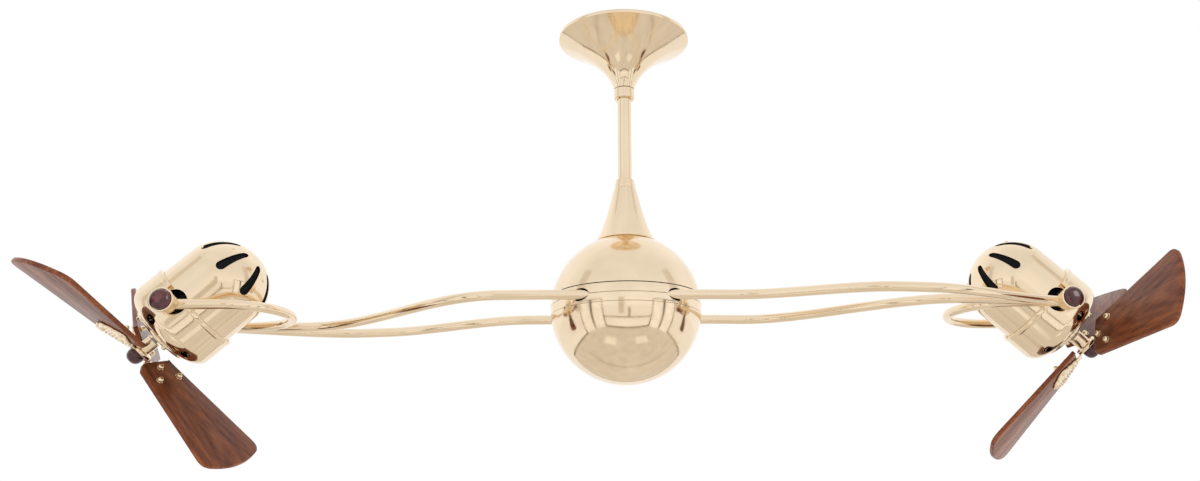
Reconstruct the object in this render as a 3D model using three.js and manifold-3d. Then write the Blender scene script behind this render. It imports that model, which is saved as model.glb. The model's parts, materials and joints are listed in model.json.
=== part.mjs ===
// Twin head ceiling fan: a canopy and downrod carry a fixed dome, a slow rotor turns under the dome,
// four wavy arms reach out to two yokes, and in each yoke hangs a motor head with a three-blade fan.
// Millimetres. The origin is the middle of the mounting plate's top face, against the ceiling; +Z is up.
import * as THREE from "three";
import { mergeVertices } from "three/addons/utils/BufferGeometryUtils.js";
import Module from "manifold-3d";

const wasm = await Module();
wasm.setup();

// ---- Clearances ----
const SEAT_GAP = 0.3; // between pieces that touch
const RUNNING_GAP = 0.4; // round pieces that turn in each other
const DOME_GROOVE = 1.0; // open groove between the fixed dome and the rotor
const HEAD_CLEARANCE = 1.2; // between a head and the parts of its yoke

// ---- Ceiling fitting ----
const PLATE = { length: 118, width: 46, thickness: 2.5 };
const PLATE_SLOT = { length: 20, width: 5.5, pitch: 84 };
const BRACKET_LEG = { width: 24, thickness: 2.5, inset: 25.5 };
const CRADLE = { outerRadius: 28.5, boreRadius: 17, height: 5, grip: 0.6 }; // grip: drop in ball radii
const BALL_RADIUS = 22;
const BALL_DROP = 32; // ball centre below the ceiling
const BALL_FLAT = 16; // half height left after the ball's ends are turned flat
const HANGER_PIN_RADIUS = 3;
const CANOPY = { rimRadius: 91.5, rimHeight: 5, neckRadius: 14, depth: 78, wall: 1.4 };
const CANOPY_PULL = { neckOut: 6, neckUp: 23, rimIn: 49.5, rimDown: 25 }; // of its flare, at neck and rim
const COLLAR = { radius: 14.2, height: 15, bevel: 1.3 };
const ROD = { radius: 9.5, wall: 2 };
const ROD_TOP = 10; // top of the rod below the ceiling

// ---- Sphere ----
const SPHERE_DROP = 394; // sphere centre below the ceiling
const SPHERE_RADIUS = 100;
const SHELL_WALL = 1.8;
const NECK = { footRadius: 40, topRadius: 15.1, topDrop: 213, wall: 1.6, lap: 3.2 };
const NECK_WAIST = { foot: 26.4, top: 22 }; // pulls of its curve
const NECK_COLLAR = { radius: 13.9, height: 13, bevel: 2.2 };
const GROOVE_HEIGHT = 15.4; // groove above the sphere centre
const ARM_HEIGHT = 2.5; // arm axis above the sphere centre, and the seam of the two rings
const RING_FOOT = 9.3; // lower ring's edge below the sphere centre
const RING_WALL = 3;
const RING_LIP = { width: 9, height: 4 }; // inward lip of the lower ring, on the hub's web
const COUPLING = { radius: 14, footRadius: 30, footHeight: 6, fillet: 6, height: 42, bottomRise: 90, floor: 4 };
const SPINDLE = {
  radius: 12,
  topRadius: 8,
  collarRadius: 27,
  collarHeight: 4,
  seatMargin: 2,
  nutRadius: 18,
  nutHeight: 6,
};
const SLIP_RING = { radius: 17, height: 16, rise: 30, groove: 1.5 };
const BEARING = { outerRadius: 22, height: 14, bevel: 1.2 };
const BEARING_SEAT = { lip: 4, depth: 4 }; // the lip that carries the bearing, and the bearing's depth
const HUB = { bossRadius: 29, bossHeight: 30, webHeight: 4, webDrop: 7.8 };
const SADDLE = { length: 68, width: 22 };
const BRUSH = { width: 12, depth: 9 };

// ---- Arms and yokes ----
const TUBE_RADIUS = 6.35;
const ARM_HOLE_CLEARANCE = 1.3;
const ARM_SPREAD = 78.3; // arm axis from the middle where the arms leave the sphere
const ARM_INNER_END = 5;
const HEAD_REACH = 566; // head pivot from the middle
const HEAD_SAG = 9.3; // head pivot below the arms' height at the sphere
// Starts and ends along an arm are shares of its run from the sphere to the pivots.
const CROSSING = { start: 0.14, end: 0.7 }; // the arm that swings over to the other side
const SWELL = { start: 0.075, top: 0.505, fallStart: 0.57, fallEnd: 1.05, width: 61 }; // the bowed arm
const ARM_LANDING = 83; // the crossing arm's distance from the middle as it nears its cup
const WELD_RUN = { start: 0.795, gapToPivot: 12, runOut: 30, offset: 3 }; // where arms close up on the yoke
const YOKE = { legSpread: 72.7, loopReach: 128.5 };

// ---- Pivots ----
const CUP = { radius: 14, rimRadius: 15.2, rimHeight: 2, length: 21.3, outerFace: 100.3 };
const CUP_WELL = { radius: 13, depth: 6 };
const CUP_NECK_RADIUS = 9.5;
const PIVOT_PIN_RADIUS = 5;
const FINIAL = { radius: 12.6, shoulder: 4, crown: 7, crownHalf: 8 };

// ---- Heads ----
const REST_TILT = 47.5; // degrees from straight down, outwards
const AXIS_RISE = 4.1; // head axis above its pivots
const REAR_SHELL = { radius: 58.7, poleReach: 113.1, domeLength: 54.9 };
const HEAD_WALL = 1.5;
const REAR_MOUTH = 17; // how far the rear shell runs on, inside the front shell
const FRONT_SHELL = { rimRadius: 64.1, radius: 63.2, rimBack: 14.9, rimWidth: 5, rimBevel: 1.5, shoulder: 20.1 };
const FRONT_FACE = { reach: 39.7, radius: 37, boreRadius: 30, wall: 2.5 };
const PIVOT_HOLE = { radius: 16, setBack: 5, border: 3.5 }; // border: the rear shell seen round the hole
const REAR_VENT = { count: 8, wideRadius: 5.4, narrowRadius: 3, wideReach: 76, narrowReach: 103 };
const FRONT_VENT = { count: 6, reach: 29, halfWidth: 4.2, halfLength: 7, innerRadius: 40 };
const MOTOR_FRAME = { halfHeight: 11 };
const MOTOR = { radius: 49.6, back: 62, front: 24, bevel: 8, noseRadius: 22, noseReach: 38.6 };
const FACE_PLATE = { radius: 40, thickness: 3, stepRadius: 26, stepHeight: 3.5, stepBevel: 2 };
const FACE_NUT = { count: 4, radius: 3, height: 4, circle: 36 };

// ---- Fans ----
const SHAFT = { radius: 4.75, back: 20, tail: 1 };
const FAN_HUB = { radius: 9.5, bevel: 1, back: 51, front: 73, flangeRadius: 15.5, flangeHeight: 4 };
const BLADE_PLANE = 70.8; // where the blades' middle lines cross the head axis, in front of the pivots
const BLADE_PITCH = 23.6; // degrees
const BLADE = { thickness: 6, root: 22, tip: 185, rootHalf: 28, tipHalf: 57, rootCut: 9, corner: 14 };
const BLADE_BOW = { corner: 4.5, middle: 19.5 }; // pulls of the bowed tip, past the straight tip
const IRON = { thickness: 2.4, neckHalf: 7, reach: 74 };
const IRON_LOBES = [
  [42, 8, 9],
  [54, 16, 11],
]; // round lobes on each side of a leaf: outwards from the axis, across, and radius
const SCREW = { radius: 1.9, nutRadius: 3.6, tail: 7 };
const SCREW_PLACES = [
  [34, 0],
  [53, 18],
  [53, -18],
]; // on each blade: outwards from the axis, and across
const CAP = { radius: 11, length: 16, footBevel: 1.5, edge: 4, shoulder: 12, crownHalf: 7 };
const FAN_PHASE = { left: 180, right: 71.2 }; // turn of the first blade in each head, degrees

// ---- Facets ----
const FINE = 16;
const MEDIUM = 12;
const SMALL = 6;
const TUBE_SIDES = 8;

// ---- Finishes ----
const finish = (color, roughness, metalness) => ({ color, roughness, metalness });
const BRASS = finish(0xe6cfa4, 0.22, 1);
const STEEL = finish(0xb9bbbd, 0.4, 1);
const BLACK = finish(0x17161a, 0.6, 0.2);
const DARK_STEEL = finish(0x222124, 0.55, 0.8);
const MAHOGANY = finish(0x6b3a20, 0.4, 0);
const DARK_WOOD = finish(0x4a2026, 0.25, 0);
const PHENOLIC = finish(0x5a4632, 0.7, 0);

// ---- Solids ----

/** A closed geometry as a solid that can be joined and cut. */
function solid(geometry) {
  const bare = geometry.clone();
  bare.deleteAttribute("normal");
  bare.deleteAttribute("uv");
  const merged = mergeVertices(bare, 1e-4);
  return new wasm.Manifold(
    new wasm.Mesh({
      numProp: 3,
      vertProperties: new Float32Array(merged.attributes.position.array),
      triVerts: new Uint32Array(merged.index.array),
    }),
  );
}

/** A solid back as a geometry with flat faces. */
function geometryOf(body) {
  const { vertProperties, triVerts } = body.getMesh();
  const geometry = new THREE.BufferGeometry();
  geometry.setAttribute("position", new THREE.BufferAttribute(vertProperties, 3));
  geometry.setIndex(new THREE.BufferAttribute(triVerts, 1));
  const flat = geometry.toNonIndexed();
  flat.computeVertexNormals();
  return flat;
}

/** Cuts every tool from a body. */
const cut = (body, ...tools) => tools.reduce((rest, tool) => rest.subtract(tool), body);

/** Joins solids that run into each other. */
const join = (first, ...others) => others.reduce((whole, other) => whole.add(other), first);

/** Turns an outline of [radius, height] points round the Z axis. */
function revolved(outline, segments = MEDIUM) {
  const area = outline.reduce((sum, [r, z], i) => {
    const [nextR, nextZ] = outline[(i + 1) % outline.length];
    return sum + r * nextZ - nextR * z;
  }, 0);
  const ordered = area > 0 ? outline : [...outline].reverse();
  const onAxis = ordered.findIndex(([r], i) => r === 0 && ordered.at(i - 1)[0] === 0);
  const loop =
    onAxis < 0
      ? [...ordered, ordered[0]]
      : [...ordered.slice(onAxis), ...ordered.slice(0, onAxis)];
  const points = loop.map(([r, z]) => new THREE.Vector2(r, z));
  return solid(new THREE.LatheGeometry(points, segments).rotateX(Math.PI / 2));
}

/** A round bar along Z between two heights. */
function bar(radius, from, to, segments = MEDIUM) {
  const geometry = new THREE.CylinderGeometry(radius, radius, to - from, segments);
  return solid(geometry.rotateX(Math.PI / 2).translate(0, 0, (from + to) / 2));
}

/** A round bar along Y between two places. */
function crossBar(radius, from, to, segments = MEDIUM) {
  const geometry = new THREE.CylinderGeometry(radius, radius, to - from, segments);
  return solid(geometry.translate(0, (from + to) / 2, 0));
}

/** A block given by its middle and its sizes. */
function block(x, y, z, length, width, height) {
  return solid(new THREE.BoxGeometry(length, width, height).translate(x, y, z));
}

/** A plate with a flat outline, from one height to another. */
function plate(shape, from, to, curveSegments = 8) {
  const options = { depth: to - from, bevelEnabled: false, curveSegments };
  return solid(new THREE.ExtrudeGeometry(shape, options).translate(0, 0, from));
}

/** A round tube's outer form along a curve. */
function tube(curve, radius, steps, sides = TUBE_SIDES) {
  const section = new THREE.Shape();
  section.absarc(0, 0, radius, 0, 2 * Math.PI);
  const options = { steps, extrudePath: curve, curveSegments: sides / 2, bevelEnabled: false };
  return solid(new THREE.ExtrudeGeometry(section, options));
}

/** Points of a ball's outline from one height to another, as [radius, height]. */
function arc(radius, fromHeight, toHeight, count) {
  const start = Math.asin(THREE.MathUtils.clamp(fromHeight / radius, -1, 1));
  const end = Math.asin(THREE.MathUtils.clamp(toHeight / radius, -1, 1));
  return Array.from({ length: count + 1 }, (_, i) => {
    const angle = start + ((end - start) * i) / count;
    const r = radius * Math.cos(angle);
    return [Math.abs(r) < 1e-6 ? 0 : r, radius * Math.sin(angle)];
  });
}

/** Points of a Bezier curve as [radius, height], from end to end. */
function bend(start, pull1, pull2, end, count) {
  const toPoint = ([r, z]) => new THREE.Vector2(r, z);
  const curve = new THREE.CubicBezierCurve(...[start, pull1, pull2, end].map(toPoint));
  return curve.getPoints(count).map((p) => [p.x, p.y]);
}

/** The outline of a sheet: an outer line, and the same line moved in by the wall. */
function sheet(line, wall) {
  const inner = line.map(([r, z], i) => {
    const [r0, z0] = line[Math.max(i - 1, 0)];
    const [r1, z1] = line[Math.min(i + 1, line.length - 1)];
    const length = Math.hypot(r1 - r0, z1 - z0);
    return [r - (wall * (z1 - z0)) / length, z + (wall * (r1 - r0)) / length];
  });
  return [...line, ...inner.reverse()];
}

/** A named mesh of a solid, in one finish. */
function piece(name, body, { color, roughness, metalness }) {
  const material = new THREE.MeshStandardMaterial({ color, roughness, metalness });
  const mesh = new THREE.Mesh(geometryOf(body), material);
  mesh.name = name;
  return mesh;
}

/** A group at a place, with its meshes and groups. */
function groupAt(position, ...children) {
  const group = new THREE.Group();
  group.position.set(...position);
  group.add(...children);
  return group;
}

const radians = THREE.MathUtils.degToRad;

// ---- Ceiling fitting: heights from the ceiling ----

function mountingBracket() {
  const { length, width, thickness } = PLATE;
  const through = 4 * thickness;
  const slotAt = PLATE_SLOT.pitch / 2;
  const slot = (side) => block(side * slotAt, 0, 0, PLATE_SLOT.length, PLATE_SLOT.width, through);
  const legHeight = BALL_DROP + BALL_RADIUS * CRADLE.grip;
  const leg = (side) =>
    block(side * BRACKET_LEG.inset, 0, -legHeight / 2, BRACKET_LEG.thickness, BRACKET_LEG.width, legHeight);
  const cradleTop = -legHeight + CRADLE.height / 2;
  const cradle = revolved([
    [CRADLE.boreRadius, cradleTop - CRADLE.height],
    [CRADLE.outerRadius, cradleTop - CRADLE.height],
    [CRADLE.outerRadius, cradleTop],
    [CRADLE.boreRadius, cradleTop],
  ]);
  return cut(
    join(block(0, 0, -thickness / 2, length, width, thickness), leg(-1), leg(1), cradle),
    slot(-1),
    slot(1),
    revolved(ballOutline(SEAT_GAP)).translate([0, 0, -BALL_DROP]),
  );
}

/** The hanger ball's outline, grown by a gap. */
function ballOutline(gap) {
  const flat = BALL_FLAT + gap;
  return [[0, -flat], ...arc(BALL_RADIUS + gap, -flat, flat, 4), [0, flat]];
}

function hangerBall() {
  const ball = revolved(ballOutline(0));
  const rodBore = bar(ROD.radius + SEAT_GAP, -BALL_RADIUS, BALL_RADIUS);
  const pinBore = crossBar(HANGER_PIN_RADIUS + SEAT_GAP, -BALL_RADIUS, BALL_RADIUS, SMALL);
  return cut(ball, rodBore, pinBore);
}

function canopy() {
  const { rimRadius, rimHeight, neckRadius, depth, wall } = CANOPY;
  const { neckOut, neckUp, rimIn, rimDown } = CANOPY_PULL;
  const flare = bend(
    [neckRadius, -depth],
    [neckRadius + neckOut, neckUp - depth],
    [rimRadius - rimIn, -rimHeight - rimDown],
    [rimRadius, -rimHeight],
    4,
  );
  return revolved(sheet([...flare, [rimRadius, 0]], wall), FINE);
}

function canopyCollar() {
  const { radius, height, bevel } = COLLAR;
  const top = -CANOPY.depth - SEAT_GAP;
  return revolved([
    [ROD.radius + SEAT_GAP, top - height],
    [radius - bevel, top - height],
    [radius, top - height + bevel],
    [radius, top - bevel],
    [radius - bevel, top],
    [ROD.radius + SEAT_GAP, top],
  ]);
}

// The rod ends inside the coupling, just above the coupling's floor.
const COUPLING_BOTTOM = -SPHERE_DROP + COUPLING.bottomRise;
const COUPLING_FLOOR = COUPLING_BOTTOM + COUPLING.height / 2;
const SPINDLE_SOCKET_TOP = COUPLING.bottomRise + COUPLING.height / 2 - COUPLING.floor;

function downrod() {
  const bottom = COUPLING_FLOOR + SEAT_GAP;
  const tubeBody = cut(
    bar(ROD.radius, bottom, -ROD_TOP),
    bar(ROD.radius - ROD.wall, bottom - 1, -ROD_TOP + 1),
  );
  const pinBore = crossBar(HANGER_PIN_RADIUS + SEAT_GAP, -BALL_RADIUS, BALL_RADIUS, SMALL);
  return cut(tubeBody, pinBore.translate([0, 0, -BALL_DROP]));
}

function hangerPin() {
  const half = Math.sqrt(BALL_RADIUS ** 2 - HANGER_PIN_RADIUS ** 2) - SEAT_GAP;
  return crossBar(HANGER_PIN_RADIUS, -half, half, SMALL);
}

function neckCollar() {
  const { radius, height, bevel } = NECK_COLLAR;
  const top = -NECK.topDrop;
  return revolved([
    [ROD.radius + SEAT_GAP, top - height],
    [radius, top - height],
    [radius, top - bevel],
    [radius - bevel, top],
    [ROD.radius + SEAT_GAP, top],
  ]);
}

function neckCover() {
  const { footRadius, topRadius, topDrop, wall, lap } = NECK;
  const top = -topDrop - NECK_COLLAR.height - SEAT_GAP;
  const footRise = Math.sqrt(SPHERE_RADIUS ** 2 - (footRadius - lap) ** 2);
  const foot = -SPHERE_DROP + footRise + SEAT_GAP;
  const third = (top - foot) / 3;
  const pulls = [
    [NECK_WAIST.foot, foot + third],
    [NECK_WAIST.top, top - third],
  ];
  return revolved(sheet(bend([footRadius, foot], ...pulls, [topRadius, top], 5), wall));
}

// ---- Fixed pieces of the sphere: heights from the sphere centre ----

function coupling() {
  const { radius, footRadius, footHeight, fillet, height, bottomRise } = COUPLING;
  const top = bottomRise + height;
  const seatRadius = SPHERE_RADIUS + SEAT_GAP;
  const footEdge = Math.sqrt(seatRadius ** 2 - footRadius ** 2);
  const footTop = footEdge + footHeight;
  const body = revolved([
    ...arc(seatRadius, footEdge, seatRadius, 4),
    [0, top],
    [radius, top],
    [radius, footTop + fillet],
    [footRadius, footTop],
  ]);
  const rodSocket = bar(ROD.radius + SEAT_GAP, bottomRise + height / 2, top + 1);
  const spindleSocket = bar(SPINDLE.topRadius + SEAT_GAP, bottomRise, SPINDLE_SOCKET_TOP);
  return cut(body, rodSocket, spindleSocket);
}

// Inside the dome's top is a flat seat, on which the spindle's collar bears.
const SEAT_RADIUS = SPINDLE.collarRadius + SPINDLE.seatMargin;
const SEAT_HEIGHT = Math.sqrt((SPHERE_RADIUS - SHELL_WALL) ** 2 - SEAT_RADIUS ** 2);

function upperDome() {
  const foot = GROOVE_HEIGHT + DOME_GROOVE / 2;
  const bore = SPINDLE.topRadius + SEAT_GAP;
  const boreTop = Math.sqrt(SPHERE_RADIUS ** 2 - bore ** 2);
  return revolved(
    [
      ...arc(SPHERE_RADIUS, foot, boreTop, 5),
      [bore, SEAT_HEIGHT],
      ...arc(SPHERE_RADIUS - SHELL_WALL, foot, SEAT_HEIGHT, 3).reverse(),
    ],
    FINE,
  );
}

const HUB_TOP = ARM_HEIGHT + HUB.bossHeight / 2;
const HUB_BOTTOM = HUB_TOP - HUB.bossHeight;
const BEARING_TOP = HUB_TOP - BEARING_SEAT.depth;
const BEARING_BOTTOM = BEARING_TOP - BEARING.height;

function spindle() {
  const collarTop = SEAT_HEIGHT - SEAT_GAP;
  const collarFoot = collarTop - SPINDLE.collarHeight;
  const nutTop = BEARING_BOTTOM - RUNNING_GAP;
  const nutFoot = nutTop - SPINDLE.nutHeight;
  const top = SPINDLE_SOCKET_TOP - SEAT_GAP;
  return revolved([
    [0, nutFoot],
    [SPINDLE.nutRadius, nutFoot],
    [SPINDLE.nutRadius, nutTop],
    [SPINDLE.radius, nutTop],
    [SPINDLE.radius, collarFoot],
    [SPINDLE.collarRadius, collarFoot],
    [SPINDLE.collarRadius, collarTop],
    [SPINDLE.topRadius, collarTop],
    [SPINDLE.topRadius, top],
    [0, top],
  ]);
}

function slipRing() {
  const foot = SLIP_RING.rise;
  const bore = SPINDLE.radius + SEAT_GAP;
  const step = SLIP_RING.height / 3;
  const crown = [0, 1, 2].flatMap((i) => {
    const radius = i % 2 ? SLIP_RING.radius - SLIP_RING.groove : SLIP_RING.radius;
    const z = foot + i * step;
    return [
      [radius, z],
      [radius, z + step],
    ];
  });
  return revolved([[bore, foot], ...crown, [bore, foot + SLIP_RING.height]]);
}

// ---- Rotor: heights from the sphere centre ----

/** A round hole through a ring for each of the four arms. */
function armHoles() {
  const radius = TUBE_RADIUS + ARM_HOLE_CLEARANCE;
  return [-1, 1].map((side) => {
    const hole = new THREE.CylinderGeometry(radius, radius, 2.2 * SPHERE_RADIUS, TUBE_SIDES);
    return solid(hole.rotateZ(Math.PI / 2).translate(0, side * ARM_SPREAD, ARM_HEIGHT));
  });
}

function upperRing() {
  const foot = ARM_HEIGHT + SEAT_GAP / 2;
  const top = GROOVE_HEIGHT - DOME_GROOVE / 2;
  const inner = SPHERE_RADIUS - RING_WALL;
  const ring = revolved([...arc(SPHERE_RADIUS, foot, top, 2), [inner - 1, top], [inner, foot]], FINE);
  return cut(ring, ...armHoles());
}

const WEB_TOP = -HUB.webDrop;
const WEB_RADIUS = SPHERE_RADIUS - RING_WALL;
const RING_LIP_RADIUS = WEB_RADIUS - RING_LIP.width;

function lowerRing() {
  const top = ARM_HEIGHT - SEAT_GAP / 2;
  const ring = revolved(
    [
      ...arc(SPHERE_RADIUS, -RING_FOOT, top, 2),
      [SPHERE_RADIUS - RING_WALL, top],
      [SPHERE_RADIUS - RING_WALL, WEB_TOP + RING_LIP.height],
      [RING_LIP_RADIUS, WEB_TOP + RING_LIP.height],
      [RING_LIP_RADIUS, WEB_TOP + SEAT_GAP],
      [WEB_RADIUS + SEAT_GAP, WEB_TOP + SEAT_GAP],
      [WEB_RADIUS + SEAT_GAP, -RING_FOOT],
    ],
    FINE,
  );
  return cut(ring, ...armHoles());
}

function lowerBowl() {
  const top = -RING_FOOT - SEAT_GAP;
  const inner = SPHERE_RADIUS - SHELL_WALL;
  return revolved(
    [...arc(SPHERE_RADIUS, top, -SPHERE_RADIUS, 6).reverse(), ...arc(inner, top, -inner, 4)],
    FINE,
  );
}

function armHub() {
  const webFoot = WEB_TOP - HUB.webHeight;
  const boreRadius = BEARING.outerRadius + SEAT_GAP;
  const bearingBore = bar(boreRadius, BEARING_BOTTOM - SEAT_GAP, HUB_TOP + 1);
  const spindleBore = bar(boreRadius - BEARING_SEAT.lip, HUB_BOTTOM - 1, HUB_TOP);
  const wheel = revolved(
    [
      [0, HUB_BOTTOM],
      [HUB.bossRadius, HUB_BOTTOM],
      [HUB.bossRadius, webFoot],
      [WEB_RADIUS, webFoot],
      [WEB_RADIUS, WEB_TOP],
      [HUB.bossRadius, WEB_TOP],
      [HUB.bossRadius, HUB_TOP],
      [0, HUB_TOP],
    ],
    FINE,
  );
  const saddle = (side) => {
    const foot = WEB_TOP - HUB.webHeight / 2;
    const height = ARM_HEIGHT - foot;
    return block(0, side * ARM_SPREAD, foot + height / 2, SADDLE.length, SADDLE.width, height);
  };
  const grooveRadius = TUBE_RADIUS + SEAT_GAP;
  const groove = (side) => {
    const bed = new THREE.CylinderGeometry(grooveRadius, grooveRadius, SADDLE.length + 2, TUBE_SIDES);
    return solid(bed.rotateZ(Math.PI / 2).translate(0, side * ARM_SPREAD, ARM_HEIGHT));
  };
  const insideRing = bar(RING_LIP_RADIUS - DOME_GROOVE, webFoot, HUB_TOP, FINE);
  const saddles = join(saddle(-1), saddle(1)).intersect(insideRing);
  return cut(join(wheel, saddles), bearingBore, spindleBore, groove(-1), groove(1));
}

function rotorBearing() {
  const { outerRadius, bevel } = BEARING;
  return revolved([
    [SPINDLE.radius + RUNNING_GAP, BEARING_BOTTOM],
    [outerRadius - bevel, BEARING_BOTTOM],
    [outerRadius, BEARING_BOTTOM + bevel],
    [outerRadius, BEARING_TOP - bevel],
    [outerRadius - bevel, BEARING_TOP],
    [SPINDLE.radius + RUNNING_GAP, BEARING_TOP],
  ]);
}

function brushBlock() {
  const foot = HUB_TOP + SEAT_GAP;
  const top = SLIP_RING.rise + SLIP_RING.height;
  const inner = SLIP_RING.radius + RUNNING_GAP;
  return block(inner + BRUSH.depth / 2, 0, (foot + top) / 2, BRUSH.depth, BRUSH.width, top - foot);
}

// ---- Arms, built for the left side: X is the distance from the middle, taken as negative ----

const along = (share) => THREE.MathUtils.lerp(SPHERE_RADIUS, HEAD_REACH, share);
const smooth = (x, from, to) => THREE.MathUtils.smoothstep(x, from, to);
const armZ = (x) => ARM_HEIGHT - HEAD_SAG * smooth(x, SPHERE_RADIUS, HEAD_REACH);
const armEnd = HEAD_REACH - WELD_RUN.gapToPivot;

/** Draws an arm in towards the yoke's leg over the last stretch before the cup. */
function closeUp(x, y, target) {
  return THREE.MathUtils.lerp(y, target, smooth(x, along(WELD_RUN.start), armEnd + WELD_RUN.runOut));
}

/** The arm that leaves at the front and swings across to the back. */
function crossingArmY(x) {
  const swing = (ARM_SPREAD + ARM_LANDING) * smooth(x, along(CROSSING.start), along(CROSSING.end));
  return closeUp(x, swing - ARM_SPREAD, YOKE.legSpread + WELD_RUN.offset);
}

/** The arm that leaves at the back, bows out and comes back in. */
function bowedArmY(x) {
  const { start, top, width, fallStart, fallEnd } = SWELL;
  const rise = width * smooth(x, along(start), along(top));
  const fall = (ARM_SPREAD + width - YOKE.legSpread) * smooth(x, along(fallStart), along(fallEnd));
  return ARM_SPREAD + rise - fall;
}

/** The middle line of an arm from its saddle in the hub to its cup. */
class ArmLine extends THREE.Curve {
  constructor(sideways) {
    super();
    this.sideways = sideways;
  }
  getPoint(t, target = new THREE.Vector3()) {
    const x = THREE.MathUtils.lerp(ARM_INNER_END, armEnd, t);
    return target.set(-x, this.sideways(x), armZ(x));
  }
}

/** A half circle in the XY plane, bulging towards +X. */
class HalfCircle extends THREE.Curve {
  constructor(centreX, radius) {
    super();
    this.centreX = centreX;
    this.radius = radius;
  }
  getPoint(t, target = new THREE.Vector3()) {
    const angle = Math.PI * (t - 0.5);
    return target.set(this.centreX + this.radius * Math.cos(angle), this.radius * Math.sin(angle), 0);
  }
}

/** The middle line of a yoke: leg, half circle, leg, from its pivot axis. */
function yokeLine() {
  const { legSpread, loopReach } = YOKE;
  const bendStart = loopReach - legSpread;
  const path = new THREE.CurvePath();
  const corner = (x, y) => new THREE.Vector3(x, y, 0);
  path.add(new THREE.LineCurve3(corner(0, -legSpread), corner(bendStart, -legSpread)));
  path.add(new HalfCircle(bendStart, legSpread));
  path.add(new THREE.LineCurve3(corner(bendStart, legSpread), corner(0, legSpread)));
  return path;
}

const pivotZ = armZ(HEAD_REACH);
const YOKE_STEPS = 16;
const ARM_STEPS = 16;

/** What a cup's neck takes out of the tubes that meet it. */
function neckRoom(side) {
  const far = CUP.outerFace + 1;
  return crossBar(CUP_NECK_RADIUS + SEAT_GAP, Math.min(side, side * far), Math.max(side, side * far));
}

/** What a cup's body takes out of the tubes that meet it. */
function cupRoom(side) {
  const from = side * (CUP.outerFace - CUP.length - SEAT_GAP);
  const to = side * (CUP.outerFace + 1);
  return crossBar(CUP.radius + SEAT_GAP, Math.min(from, to), Math.max(from, to));
}

function yokeTube(radius) {
  return tube(yokeLine(), radius, YOKE_STEPS);
}

function yoke() {
  return cut(yokeTube(TUBE_RADIUS), neckRoom(-1), neckRoom(1), cupRoom(-1), cupRoom(1));
}

/** An arm, cut to fit round its cup and the tubes that reach the cup before it. */
function arm(sideways, ...others) {
  const toPivot = (body) => body.translate([-HEAD_REACH, 0, pivotZ]);
  const line = new ArmLine(sideways);
  const rooms = [neckRoom(1), cupRoom(1), yokeTube(TUBE_RADIUS + SEAT_GAP)].map(toPivot);
  const body = cut(tube(line, TUBE_RADIUS, ARM_STEPS), ...rooms, ...others);
  return biggest(body);
}

/** The largest piece, when a cut leaves loose slivers. */
function biggest(body) {
  return body.decompose().reduce((best, one) => (one.volume() > best.volume() ? one : best));
}

// ---- Pivots: in the head's pivot frame, Y along the pivot axis ----

function pivotCup(side) {
  const inner = CUP.outerFace - CUP.length;
  const wellFloor = CUP.outerFace - CUP_WELL.depth;
  const pinEnd = MOTOR.radius + 2 * SEAT_GAP;
  const neckFoot = FRONT_SHELL.rimRadius + HEAD_CLEARANCE;
  const outline = [
    [0, pinEnd],
    [PIVOT_PIN_RADIUS, pinEnd],
    [PIVOT_PIN_RADIUS, neckFoot],
    [CUP_NECK_RADIUS, neckFoot],
    [CUP_NECK_RADIUS, inner],
    [CUP.radius, inner],
    [CUP.radius, CUP.outerFace - CUP.rimHeight],
    [CUP.rimRadius, CUP.outerFace - CUP.rimHeight],
    [CUP.rimRadius, CUP.outerFace],
    [CUP_WELL.radius, CUP.outerFace],
    [CUP_WELL.radius, wellFloor],
    [0, wellFloor],
  ];
  return revolved(outline).rotate([-90 * side, 0, 0]);
}

function finial(side) {
  const { radius, shoulder, crown, crownHalf } = FINIAL;
  const seat = CUP.outerFace - CUP_WELL.depth + SEAT_GAP;
  const edge = CUP.outerFace;
  const top = edge + crown;
  const dome = bend([radius, edge], [radius, edge + shoulder], [crownHalf, top], [0, top], 3);
  return revolved([[0, seat], [radius, seat], ...dome]).rotate([-90 * side, 0, 0]);
}

// ---- Heads: Z runs along the head axis towards the fan, from the pivots ----

const ACROSS_HEAD = FRONT_SHELL.rimRadius + HEAD_CLEARANCE; // a cut this deep runs out of a head's side

/** Rear shell's outline from its mouth to its pole, at a distance inside the surface. */
function rearLine(inset, mouth, count) {
  const { radius, poleReach, domeLength } = REAR_SHELL;
  const domeStart = -poleReach + domeLength;
  const dome = Array.from({ length: count + 1 }, (_, i) => {
    const angle = (Math.PI / 2) * (i / count);
    const r = i === count ? 0 : (radius - inset) * Math.cos(angle);
    return [r, domeStart - (domeLength - inset) * Math.sin(angle)];
  });
  return [[radius - inset, mouth], ...dome];
}

/** A teardrop slot along the dome, cut inwards in the direction of X. */
function rearVentTool() {
  const { wideRadius, narrowRadius, wideReach, narrowReach } = REAR_VENT;
  const length = narrowReach - wideReach;
  const lean = Math.asin((wideRadius - narrowRadius) / length);
  const outline = new THREE.Shape();
  outline.absarc(-wideReach, 0, wideRadius, -Math.PI / 2 + lean, Math.PI / 2 - lean, false);
  outline.absarc(-narrowReach, 0, narrowRadius, Math.PI / 2 - lean, (3 * Math.PI) / 2 + lean, false);
  return plate(outline, 0, ACROSS_HEAD, 2).rotate([0, -90, 0]).rotate([0, 0, 180]);
}

/** The round hole for the pivots, through both sides of a head. */
function pivotHole(radius) {
  return crossBar(radius, -ACROSS_HEAD, ACROSS_HEAD).translate([0, 0, -PIVOT_HOLE.setBack]);
}

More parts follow.
